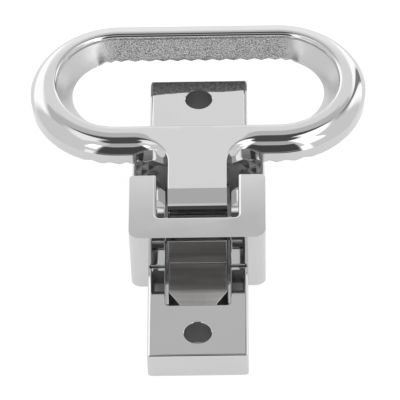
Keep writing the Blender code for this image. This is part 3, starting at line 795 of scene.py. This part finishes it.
def make_ring_skin():
    """Ring, fillets and neck as one skin: a closed section carried round the opening, whose outer side
    leaves the ring at the fillets and runs down both sides of the neck."""
    rim_front = RIM_Y - RIM_RADIUS
    flat_front = EDGE_Y - EDGE_RADIUS
    flat_half = NECK_HALF - NECK_ROUND
    fillet = (flat_half + NECK_FILLET, flat_front - NECK_FILLET)
    stations = []        # inner origin, inner direction, outer origin, outer direction, scale, grip along

    def add(inner, inner_way, outer, outer_way, scale, grip_here, along):
        stations.append((inner, inner_way, outer, outer_way, scale, grip_here, along))

    down = Vector((0, -1))
    steps = 8
    for k in range(steps):                                   # across the end of the neck
        x = flat_half * k / steps
        add(Vector((x * 0.25, rim_front)), down, Vector((x, NECK_END)), down, 0.0, 0.0, 0.0)
    steps = 14
    side_scale = NECK_ROUND / shoulder_width(Vector((1, 0)))
    for k in range(steps + 1):                               # up the side of the neck
        share = k / steps
        inner_x = flat_half * (0.25 + 0.45 * share)
        y = NECK_END + (fillet[1] - NECK_END) * share
        add(Vector((inner_x, rim_front)), down, Vector((flat_half, y)), Vector((1, 0)), side_scale, 0.0, 0.0)
    steps = 40
    inner_start = flat_half * 0.7
    for k in range(1, steps + 1):                            # round the fillet
        share = k / steps
        angle = math.pi * (1 - share / 2)
        way = Vector((-math.cos(angle), -math.sin(angle)))
        outer = Vector(fillet) - way * NECK_FILLET
        scale = side_scale + (1 - side_scale) * smooth_step(share, 0.12, 1.0)
        inner_x = inner_start + (fillet[0] - inner_start) * share
        add(Vector((inner_x, rim_front)), down, outer, way, scale, smooth_step(share, 0.4, 0.6), inner_x)
    run = RING_STRAIGHT - fillet[0]
    steps = 14
    for k in range(1, steps + 1):                            # rest of the near straight
        x = fillet[0] + run * k / steps
        add(Vector((x, rim_front)), down, Vector((x, flat_front)), down, 1.0, 1.0, x)
    steps = 120
    middle = (RIM_RADIUS + EDGE_RADIUS) / 2
    for k in range(1, steps + 1):                            # round the end
        angle = -math.pi / 2 + math.pi * k / steps
        way = Vector((math.cos(angle), math.sin(angle)))
        rim = Vector((RING_STRAIGHT, RIM_Y)) + way * RIM_RADIUS
        edge = Vector((RING_STRAIGHT, EDGE_Y)) + way * EDGE_RADIUS
        from_straight = min(k, steps - k) / steps * math.pi
        grip_here = 1 - smooth_step(from_straight, GRIP_END - GRIP_FADE, GRIP_END + GRIP_FADE)
        near_end = k < steps / 2
        along = RING_STRAIGHT + middle * from_straight
        add(rim, way, edge, way, 1.0, grip_here, along if near_end else -along)
    steps = 90
    up = Vector((0, 1))
    for k in range(1, steps):                                # half of the far straight
        x = RING_STRAIGHT * (1 - k / steps)
        add(Vector((x, RIM_Y + RIM_RADIUS)), up, Vector((x, EDGE_Y + EDGE_RADIUS)), up, 1.0, 1.0, x)

    def mirrored(station):
        inner, inner_way, outer, outer_way, scale, grip_here, along = station
        flip = Vector((-1, 1))
        return (inner * flip, inner_way * flip, outer * flip, outer_way * flip, scale, grip_here, along)

    far_middle = (Vector((0, RIM_Y + RIM_RADIUS)), up, Vector((0, EDGE_Y + EDGE_RADIUS)), up, 1.0, 1.0, 0.0)
    whole = stations + [far_middle] + [mirrored(s) for s in reversed(stations[1:])]

    bm = bmesh.new()
    rings = []
    for inner, inner_way, outer, outer_way, scale, grip_here, along in whole:
        rings.append([bm.verts.new(point(*spot)) for spot in
                      section_points(inner, inner_way, outer, outer_way, scale, grip_here, along)])
    bridge_rings(bm, rings, closed=True)
    return solid(bm)


def section_points(inner, inner_way, outer, outer_way, scale, grip_here, along):
    """One closed section of the handle, from the rim of the opening over the front to the back."""
    top = BRIDGE_TOP
    crown = CROWN * smooth_step(scale, 0.5, 1.0)
    spots = []

    def put(origin, way, distance, height):
        spot = origin + way * distance
        fall = HANDLE_SLOPE * (spot.y - NECK_FLAT_END) * smooth_step(height, RING_BACK + 1, BRIDGE_TOP - 2)
        spots.append((spot.x, spot.y, height - max(0.0, fall)))

    for k in range(9):                                       # rounded rim of the opening
        turn = math.pi / 2 * k / 8
        put(inner, inner_way, RIM_ROUND * (1 - math.cos(turn)),
            top - crown - RIM_DROP * (1 - math.sin(turn)))
    flat_start = inner + inner_way * RIM_ROUND
    across = outer - flat_start
    for k in range(1, 8):                                    # front face, slightly crowned
        share = k / 8
        put(flat_start, across, share, top - crown * (2 * share - 1) ** 2)
    shoulder = shoulder_width(outer_way)
    width = shoulder / math.sin(SHOULDER_TURN)
    depth = SHOULDER_DROP / (1 - math.cos(SHOULDER_TURN))
    for k in range(19):                                      # outer shoulder, down to the crease
        turn = SHOULDER_TURN * k / 18
        drop = depth * (1 - math.cos(turn)) * scale if scale else 0.02 * k
        put(outer, outer_way, scale * width * math.sin(turn), top - crown - drop)
    reach = scale * shoulder
    crease = spots[-1][2]
    low = RING_BACK + (NECK_UNDERSIDE - RING_BACK) * (1 - smooth_step(scale, 0.25, 0.7))
    phase = along / GRIP_PITCH

    def back_height(share):
        raised = 1 - grip(phase, share * 3.0)
        return low + GRIP_DEPTH * grip_here * raised

    edge = back_height(0.0)
    for share, inset in ((0.33, 0.0), (0.66, 0.03), (0.85, 0.08)):     # outer wall
        put(outer, outer_way, reach - inset * scale, crease + (edge + 0.7 - crease) * share / 0.85)
    put(outer, outer_way, reach - 0.3 * scale, edge + 0.3)
    back_outer = outer + outer_way * (reach - 0.8 * scale)
    back_inner = inner - inner_way * (WALL_LEAN - 0.8)
    steps = 30
    for k in range(steps + 1):                               # back, with the grip's pyramids
        share = k / steps
        put(back_outer, back_inner - back_outer, share, back_height(share))
    inner_edge = back_height(1.0)
    wall_top = top - crown - RIM_DROP - 0.25
    wall_low = RING_BACK + GRIP_DEPTH * grip_here + 0.7
    for inset, share in ((0.3, 0.15), (0.08, 0.5), (0.0, 1.0)):        # rounded back rim of the opening
        put(inner, inner_way, inset - WALL_LEAN, inner_edge + (wall_low - inner_edge) * share)
    for k in range(1, 14):                                   # leaning inner wall
        share = k / 13
        bulge = 0.18 * math.sin(math.pi * share)
        put(inner, inner_way, -WALL_LEAN * (1 - share) - bulge, wall_low + (wall_top - wall_low) * share)
    return spots


def make_pull_handle(chrome):
    """Ring, neck, knuckle and crank ears in one casting."""
    handle = make_ring_skin()
    top = BRIDGE_TOP + REACH
    slope = (BRIDGE_TOP - NECK_BEVEL[1]) / (NECK_FLAT_END - NECK_BEVEL[0])
    nose_tip = NECK_NOSE[0][1]
    wedge = [(NECK_FLAT_END + REACH / slope, top), (NECK_FLAT_END, BRIDGE_TOP), NECK_BEVEL,
             NECK_LEDGE, NECK_NOSE[0], (NECK_END - REACH, nose_tip), (NECK_END - REACH, top)]
    cut(handle, prism(wedge, "X", -NECK_HALF - REACH, NECK_HALF + REACH))
    web_front, web_back, web_top = (PIVOT_Y + distance for distance in WEB)
    heel = [(NECK_END - REACH, NECK_NOSE[1][1]), *NECK_NOSE[1:], (web_front, NECK_UNDERSIDE - REACH),
            (NECK_END - REACH, NECK_UNDERSIDE - REACH)]
    cut(handle, prism(heel, "X", -NECK_HALF - REACH, NECK_HALF + REACH))

    inset = 0.08
    web = [(PIVOT_Y + 0.9, 13.9), (web_front, PIVOT_Z), (web_back, PIVOT_Z), (web_top, NECK_UNDERSIDE),
           (web_top, WEB_ROOT), (PIVOT_Y + 1.6, WEB_ROOT)]
    join(handle, prism(web, "X", -NECK_HALF + inset, NECK_HALF - inset))
    pivot = (PIVOT_Y, PIVOT_Z)
    edge = 0.25
    knuckle = [(-NECK_HALF, 0), (-NECK_HALF, KNUCKLE_RADIUS - edge), (-NECK_HALF + edge, KNUCKLE_RADIUS),
               (NECK_HALF - edge, KNUCKLE_RADIUS), (NECK_HALF, KNUCKLE_RADIUS - edge), (NECK_HALF, 0)]
    join(handle, turned(knuckle, "X", pivot))
    drive = (DRIVE_Y, DRIVE_Z)
    lean = math.degrees(math.atan2(drive[1] - pivot[1], drive[0] - pivot[0]))
    ear = arc(drive, EAR_RADIUS, lean - 90, lean + 90, 24) + arc(pivot, EAR_RADIUS, lean + 90, lean + 270, 24)
    for low, high in ((EAR_INNER, EAR_OUTER), (-EAR_OUTER, -EAR_INNER)):
        join(handle, prism(ear, "X", low, high))
    cut(handle, rod("X", pivot, BUSH_RADIUS + BUSH_GAP, -NECK_HALF - REACH, NECK_HALF + REACH))
    cut(handle, rod("X", drive, DRIVE_PIN_RADIUS + BUSH_GAP, -EAR_OUTER - REACH, EAR_OUTER + REACH))
    cut(handle, rod("X", drive, ROLLER_RADIUS + GAP, -EAR_INNER, EAR_INNER))

    def on_wall(x, y, z):
        """1 on the leaning wall round the opening, 0 elsewhere."""
        distance = math.hypot(max(0.0, abs(x) - RING_STRAIGHT), y - RIM_Y)
        fall = HANDLE_SLOPE * (y - NECK_FLAT_END)
        return float(distance < RIM_RADIUS + 0.15 and z < BRIDGE_TOP - RIM_DROP - fall + 0.3)

    def grain(x, y, z):
        """The blasted stretch inside the far bar of the ring."""
        if y < RIM_Y:
            return 0.0
        return on_wall(x, y, z) * (1 - smooth_step(abs(x), GRAIN_END - 3.5, GRAIN_END + 2.5))
    paint(handle, "grain", grain)
    paint(handle, "satin", on_wall)

    def raw_and_shade(centre, normal):
        """The duller back of the ring and neck, darkened as painted shade."""
        return float(normal.z < -0.4 and centre.z < NECK_UNDERSIDE + 1)
    paint_faces(handle, "raw_and_shade", raw_and_shade)
    finish(handle, "pull_handle", chrome)


# ---------------------------------------------------------------- bolt and its springs

def make_slide_bolt(steel):
    """Wedge-nosed tongue, raised shoulder and tail in one bar, with a window for the crank."""
    side = rounded([(BOLT_TIP, BOLT_BOTTOM, 0), (TAIL_END, BOLT_BOTTOM, 0), (TAIL_END, TAIL_TOP, 0),
                    (STEP_Y, TAIL_TOP, 0), (STEP_Y, GUSSET[2], 0), (GUSSET[0], GUSSET[1], 0),
                    (GUSSET[0], SHOULDER_TOP, BOLT_ROUND), (SHOULDER_FRONT, SHOULDER_TOP, BOLT_ROUND),
                    (SHOULDER_FRONT, BOLT_TOP, 0), (BEVEL_START, BOLT_TOP, BEVEL_ROUND),
                    (BOLT_TIP, BOLT_TIP_TOP, BOLT_ROUND)])
    bolt = prism(side, "X", -BOLT_HALF, BOLT_HALF)
    plan = [(-BOLT_HALF, TAIL_END + REACH), (-BOLT_HALF, NOSE_START), (-NOSE_HALF, NOSE_END),
            (-NOSE_HALF, BOLT_TIP - REACH), (NOSE_HALF, BOLT_TIP - REACH), (NOSE_HALF, NOSE_END),
            (BOLT_HALF, NOSE_START), (BOLT_HALF, TAIL_END + REACH)]
    trim(bolt, prism(plan, "Z", 0, BRIDGE_TOP))
    reach = ROLLER_RADIUS + WINDOW_PLAY
    cut(bolt, prism(box_outline(EAR_OUTER + 0.6, DRIVE_Y - reach, DRIVE_Y + reach, 0.4), "Z", 0, BOLT_TOP))
    for x in (-SPRING_X, SPRING_X):
        cut(bolt, rod("Y", (x, SPRING_Z), SPRING_BORE, SPRING_SEAT, TAIL_END + REACH))
    finish(bolt, "slide_bolt", steel, bevel=0.18)


def make_spring(node, x, wire):
    """Compression spring with closed ends, made at one length; in the latch it shortens towards the end wall
    as the handle lifts.
    """
    start = SPRING_LOW.y - SEAM + SPRING_WIRE
    end = SPRING_HIGH.y - SEAM - SPRING_WIRE
    steps = SPRING_TURNS * COIL_STEPS
    bm = bmesh.new()
    rings = []
    for k in range(steps + 1):
        angle = 2 * math.pi * k / COIL_STEPS
        share = k / steps
        closed = 0.055 * math.sin(2 * math.pi * share)
        y = start + (end - start) * (share - closed)
        ring = []
        for j in range(WIRE_SIDES):
            around = 2 * math.pi * j / WIRE_SIDES
            radius = SPRING_RADIUS + SPRING_WIRE * math.cos(around)
            ring.append(bm.verts.new(point(x + radius * math.cos(angle), y + SPRING_WIRE * math.sin(around),
                                           SPRING_Z + radius * math.sin(angle))))
        rings.append(ring)
    bridge_rings(bm, rings, closed=False)
    bm.faces.new(rings[0])
    bm.faces.new(rings[-1])
    spring = finish(solid(bm), node, wire)
    spring.modifiers.clear()
    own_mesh(spring)


def make_spring_guide(node, x, steel):
    """Rod that keeps a spring straight."""
    profile = [(GUIDE_START, 0), (GUIDE_START, GUIDE_RADIUS - 0.3), (GUIDE_START + 0.1, GUIDE_RADIUS - 0.12),
               (GUIDE_START + 0.35, GUIDE_RADIUS), (GUIDE_END - 0.1, GUIDE_RADIUS),
               (GUIDE_END, GUIDE_RADIUS - 0.1), (GUIDE_END, 0)]
    finish(turned(profile, "Y", (x, SPRING_Z)), node, steel)


# ---------------------------------------------------------------- small parts

def make_hinge_pin(steel):
    """Headed pin through both cheeks, with a groove for its clip at the right-hand end."""
    head = HEAD_SEAT + GAP
    groove = (CLIP_X - GAP, CLIP_X + CLIP_THICKNESS + GAP)
    dome = [(-PIN_END + HEAD_ROUND * (1 - math.sin(a)), HEAD_RADIUS - HEAD_ROUND * (1 - math.cos(a)))
            for a in (math.pi / 2 * (1 - k / 6) for k in range(7))]
    profile = [(-PIN_END, 0)] + dome + [
        (-head, HEAD_RADIUS), (-head, PIN_RADIUS), (groove[0], PIN_RADIUS), (groove[0], GROOVE_RADIUS),
        (groove[1], GROOVE_RADIUS), (groove[1], PIN_RADIUS), (PIN_END - PIN_CHAMFER, PIN_RADIUS),
        (PIN_END, PIN_RADIUS - PIN_CHAMFER), (PIN_END, 0)]
    finish(turned(profile, "X", (PIVOT_Y, PIVOT_Z)), "hinge_pin", steel)


def make_pin_clip(wire):
    """Open spring clip that holds the hinge pin in."""
    low, high = CLIP_X, CLIP_X + CLIP_THICKNESS
    clip = tube("X", (PIVOT_Y, PIVOT_Z), GROOVE_RADIUS + GAP, CLIP_RADIUS, low, high, 0.06)
    foot = PIVOT_Z - CLIP_RADIUS - REACH
    narrow, wide = CLIP_MOUTH
    mouth = [(PIVOT_Y - narrow, PIVOT_Z), (PIVOT_Y + narrow, PIVOT_Z),
             (PIVOT_Y + wide, foot), (PIVOT_Y - wide, foot)]
    cut(clip, prism(mouth, "X", low - REACH, high + REACH))
    finish(clip, "pin_retaining_clip", wire, bevel=0.04)


def make_retainer_plate(zinc):
    """Steel plate let into the underside, which the bolt slides on."""
    plate = prism(box_outline(PLATE_HALF, PLATE_LOW.y - SEAM, PLATE_HIGH.y - SEAM, PLATE_CORNER),
                  "Z", PLATE_LOW.z, PLATE_HIGH.z)
    for x in (-SCREW_X, SCREW_X):
        for y in SCREW_YS:
            sink = [(PLATE_LOW.z - REACH, 0), (PLATE_LOW.z - REACH, SCREW_HEAD + 2 * GAP + REACH),
                    (PLATE_HIGH.z - 0.1, SCREW_RADIUS + GAP), (PLATE_HIGH.z + REACH, SCREW_RADIUS + GAP),
                    (PLATE_HIGH.z + REACH, 0)]
            cut(plate, turned(sink, "Z", (x, y)))
    finish(plate, "retainer_plate", zinc, bevel=0.12)


def make_plate_screw(node, x, y, zinc):
    """Countersunk screw with a cross recess, head down, and a threaded shank."""
    head = SCREW_BOTTOM + SCREW_HEAD - SCREW_RADIUS
    profile = [(SCREW_BOTTOM, 0), (SCREW_BOTTOM, SCREW_HEAD - 0.05), (SCREW_BOTTOM + 0.08, SCREW_HEAD),
               (head, SCREW_RADIUS)]
    z = head + 0.3
    while z + THREAD_PITCH < SCREW_TOP - 0.6:
        profile += [(z, SCREW_RADIUS), (z + THREAD_PITCH / 2, SCREW_RADIUS - THREAD_DEPTH)]
        z += THREAD_PITCH
    profile += [(z, SCREW_RADIUS), (SCREW_TOP, SCREW_RADIUS / 2), (SCREW_TOP, 0)]
    screw = turned(profile, "Z", (x, y))
    for a, b in ((RECESS_LENGTH, RECESS_WIDTH), (RECESS_WIDTH, RECESS_LENGTH)):
        outline = [(x - a, y - b), (x + a, y - b), (x + a, y + b), (x - a, y + b)]
        cut(screw, prism(outline, "Z", SCREW_BOTTOM - REACH, SCREW_BOTTOM + RECESS_DEPTH))
    finish(screw, node, zinc)


def make_handle_bumper(rubber):
    """Rubber button that the closed handle rests on, domed, with its stem in the body."""
    seat = BAR_TOP + GAP
    crown = [(BUMPER_HIGH.z - BUMPER_ROUND * (1 - math.sin(a)),
              BUMPER_RADIUS - BUMPER_ROUND * (1 - math.cos(a)))
             for a in (math.pi / 2 * k / 8 for k in range(9))]
    profile = [(BUMPER_LOW.z, 0), (BUMPER_LOW.z, STEM_RADIUS - 0.3), (BUMPER_LOW.z + 0.4, STEM_RADIUS),
               (seat, STEM_RADIUS), (seat, BUMPER_RADIUS - 0.15), (seat + 0.15, BUMPER_RADIUS)]
    profile += crown + [(BUMPER_HIGH.z, 0)]
    finish(turned(profile, "Z", (0, BUMPER_Y)), "handle_bumper", rubber)


def make_hinge_sleeves(bronze, steel):
    """Bearing bushes, drive pin and roller."""
    pivot = (PIVOT_Y, PIVOT_Z)
    drive = (DRIVE_Y, DRIVE_Z)
    for node, side in (("pivot_bush_left", -1), ("pivot_bush_right", 1)):
        low, high = sorted(side * end for end in BUSH_ENDS)
        finish(tube("X", pivot, PIN_RADIUS + BUSH_GAP, BUSH_RADIUS, low, high, 0.1), node, bronze)
    end = DRIVE_PIN_END
    pin = [(-end, 0), (-end, DRIVE_PIN_RADIUS - 0.15), (-end + 0.15, DRIVE_PIN_RADIUS),
           (end - 0.15, DRIVE_PIN_RADIUS), (end, DRIVE_PIN_RADIUS - 0.15), (end, 0)]
    finish(turned(pin, "X", drive), "drive_pin", steel)
    half = EAR_INNER - GAP
    roller = tube("X", drive, DRIVE_PIN_RADIUS + BUSH_GAP, ROLLER_RADIUS, -half, half, 0.12)
    finish(roller, "drive_roller", steel)


# ---------------------------------------------------------------- stage

CAMERA_ELEVATION = math.radians(47.674)
CAMERA_AZIMUTH = math.radians(1.625)
CAMERA_ROLL = math.radians(1.988)
CAMERA_DISTANCE = 1.05135
CAMERA_FIELD = math.radians(5.609)
CAMERA_TARGET = point(0.422, 23.356, 7.0)


def make_camera():
    """Long lens, looking down at the latch from the keeper's end."""
    back = Vector((math.sin(CAMERA_AZIMUTH) * math.cos(CAMERA_ELEVATION),
                   -math.cos(CAMERA_AZIMUTH) * math.cos(CAMERA_ELEVATION), math.sin(CAMERA_ELEVATION)))
    level = Vector((math.cos(CAMERA_AZIMUTH), math.sin(CAMERA_AZIMUTH), 0))
    above = back.cross(level)
    right = math.cos(CAMERA_ROLL) * level - math.sin(CAMERA_ROLL) * above
    up = math.sin(CAMERA_ROLL) * level + math.cos(CAMERA_ROLL) * above
    lens = bpy.data.cameras.new("camera")
    lens.lens_unit = "FOV"
    lens.angle = CAMERA_FIELD
    lens.clip_end = 20
    camera = bpy.data.objects.new("camera", lens)
    camera.matrix_world = Matrix.Translation(CAMERA_TARGET + back * CAMERA_DISTANCE) @ Matrix(
        (right, up, back)).transposed().to_4x4()
    bpy.context.scene.collection.objects.link(camera)
    bpy.context.scene.camera = camera


def make_table():
    """A white back-lit table, so the latch throws hardly any shadow, with a dark, faintly glowing patch under
    its bars as painted shade.
    """
    mesh = bpy.data.meshes.new("table")
    half = 3.0
    mesh.from_pydata([(-half, -half, 0), (half, -half, 0), (half, half, 0), (-half, half, 0)],
                     [], [(0, 1, 2, 3)])
    material = bpy.data.materials.new("table")
    material.use_nodes = True
    shader = material.node_tree.nodes["Principled BSDF"]
    shader.inputs["Base Color"].default_value = (0.2, 0.2, 0.2, 1)
    shader.inputs["Roughness"].default_value = 0.9
    shader.inputs["Emission Color"].default_value = (1, 1, 1, 1)
    shader.inputs["Emission Strength"].default_value = 0.87
    mesh.materials.append(material)
    table = bpy.data.objects.new("table", mesh)
    bpy.context.scene.collection.objects.link(table)

    # painted shade: a dark grey sheet, glowing a little, laid on the table under the bars
    shade = prism(box_outline(BAR_HALF - 2, KEEPER_END + 2, BODY_END - 2, 1), "Z", -0.05, 0.02)
    shade.name = "shade_under_latch"
    grey = bpy.data.materials.new("shade")
    grey.use_nodes = True
    dull = grey.node_tree.nodes["Principled BSDF"]
    dull.inputs["Base Color"].default_value = (0.3, 0.3, 0.3, 1)
    dull.inputs["Roughness"].default_value = 1.0
    dull.inputs["Emission Color"].default_value = (1, 1, 1, 1)
    dull.inputs["Emission Strength"].default_value = 0.13
    shade.data.materials.append(grey)


# The room as seen from the latch: azimuth 0 is over the ring's end and 90 over the right-hand side.
# Each card is (azimuth, half width, low, high, light, softness) with angles in degrees, and covers
# the cards before it.
ROOM_LIGHT = 0.98
ROOM_CARDS = {
    "back_wall": (0, 60, 30, 47.7, 1.14, 0.5),
    "back_wall_low": (0, 65, -20, 40, 1.35, 6),
    "back_wall_upper": (0, 60, 47.7, 58.5, 0.76, 0.5),
    "back_ceiling_gap": (0, 30, 58.5, 84, 0.11, 4),
    "ceiling": (0, 200, 78, 100, 0.11, 4),
    "right_strip_light": (87, 58, 62, 78, 2.0, 4),
    "left_strip_light": (-70, 40, 62, 78, 1.4, 4),
    "back_left_low": (-38, 22, -20, 44, 1.7, 6),
    "back_right_low": (38, 22, -20, 44, 1.7, 6),
    "right_stand": (39, 6, -20, 55, 0.33, 3),
    "front_upper": (180, 28, 62, 80, 0.67, 4),
    "front_dark": (180, 27, 20, 60, 0.09, 4),
    "front_low": (180, 27, 8, 20, 0.19, 3),
    "front_horizon": (180, 60, -14, 8, 2.2, 3),
    "left_lamp": (-142, 8, 38, 60, 2.4, 2),
    "right_lamp": (130, 15, 38, 65, 2.4, 2),
    "right_column": (146, 6, -5, 36, 2.0, 3),
    "left_column": (-145, 5, 8, 25, 1.5, 3),
}


def make_world():
    """A pale studio with soft lights, grey cards and the dark place where the photographer stands."""
    world = bpy.data.worlds.new("room")
    room = Graph(world)
    way = room.node("ShaderNodeTexCoord").outputs["Generated"]
    parts = room.node("ShaderNodeSeparateXYZ")
    room.link(way, parts.inputs[0])
    elevation = room.node("ShaderNodeMath", operation="ARCSINE")
    room.link(parts.outputs["Z"], elevation.inputs[0])
    level = room.node("ShaderNodeVectorMath", operation="MULTIPLY")
    level.inputs[1].default_value = (1, 1, 0)
    room.link(way, level.inputs[0])
    heading = room.node("ShaderNodeVectorMath", operation="NORMALIZE")
    room.link(level.outputs[0], heading.inputs[0])
    light = None
    for azimuth, half_width, low, high, strength, soft in ROOM_CARDS.values():
        across = room.node("ShaderNodeVectorMath", operation="DOT_PRODUCT")
        across.inputs[1].default_value = (math.sin(math.radians(azimuth)), math.cos(math.radians(azimuth)), 0)
        room.link(heading.outputs[0], across.inputs[0])
        aside = room.node("ShaderNodeMath", operation="ARCCOSINE")
        room.link(across.outputs["Value"], aside.inputs[0])
        half_width, low, high, edge = (math.radians(v) for v in (half_width, low, high, soft / 2))
        share = room.times(room.span(aside.outputs[0], 1, 0, half_width - edge, half_width + edge),
                           room.times(room.span(elevation.outputs[0], 0, 1, low - edge, low + edge),
                                      room.span(elevation.outputs[0], 1, 0, high - edge, high + edge)))
        mix = room.node("ShaderNodeMix", data_type="FLOAT")
        mix.inputs["A"].default_value = ROOM_LIGHT
        mix.inputs["B"].default_value = strength
        room.link(share, mix.inputs["Factor"])
        if light:
            room.link(light, mix.inputs["A"])
        light = mix.outputs[0]
    background = room.tree.nodes["Background"]
    room.link(light, background.inputs["Strength"])
    background.inputs["Color"].default_value = (1, 1, 1, 1)
    bpy.context.scene.world = world


def main():
    make_camera()
    make_world()
    make_table()
    chrome = make_chrome()
    brushed = make_satin_steel()
    steel = make_turned_steel()
    zinc = make_zinc()
    bronze = make_bronze()
    wire = make_spring_steel()
    rubber = make_rubber()

    make_keeper(chrome)
    make_latch_body(chrome)
    make_pull_handle(chrome)
    make_slide_bolt(brushed)
    make_hinge_pin(steel)
    make_pin_clip(wire)
    make_retainer_plate(zinc)
    make_handle_bumper(rubber)
    make_hinge_sleeves(bronze, steel)
    for place, x, y in (("front_left", -SCREW_X, SCREW_YS[0]), ("front_right", SCREW_X, SCREW_YS[0]),
                        ("rear_left", -SCREW_X, SCREW_YS[1]), ("rear_right", SCREW_X, SCREW_YS[1])):
        make_plate_screw("plate_screw_" + place, x, y, zinc)
    for hand, side in (("left", -1), ("right", 1)):
        make_spring("bolt_spring_" + hand, side * SPRING_X, wire)
        make_spring_guide("spring_guide_" + hand, side * SPRING_X, steel)
    bpy.context.scene.view_settings.view_transform = "Standard"


main()
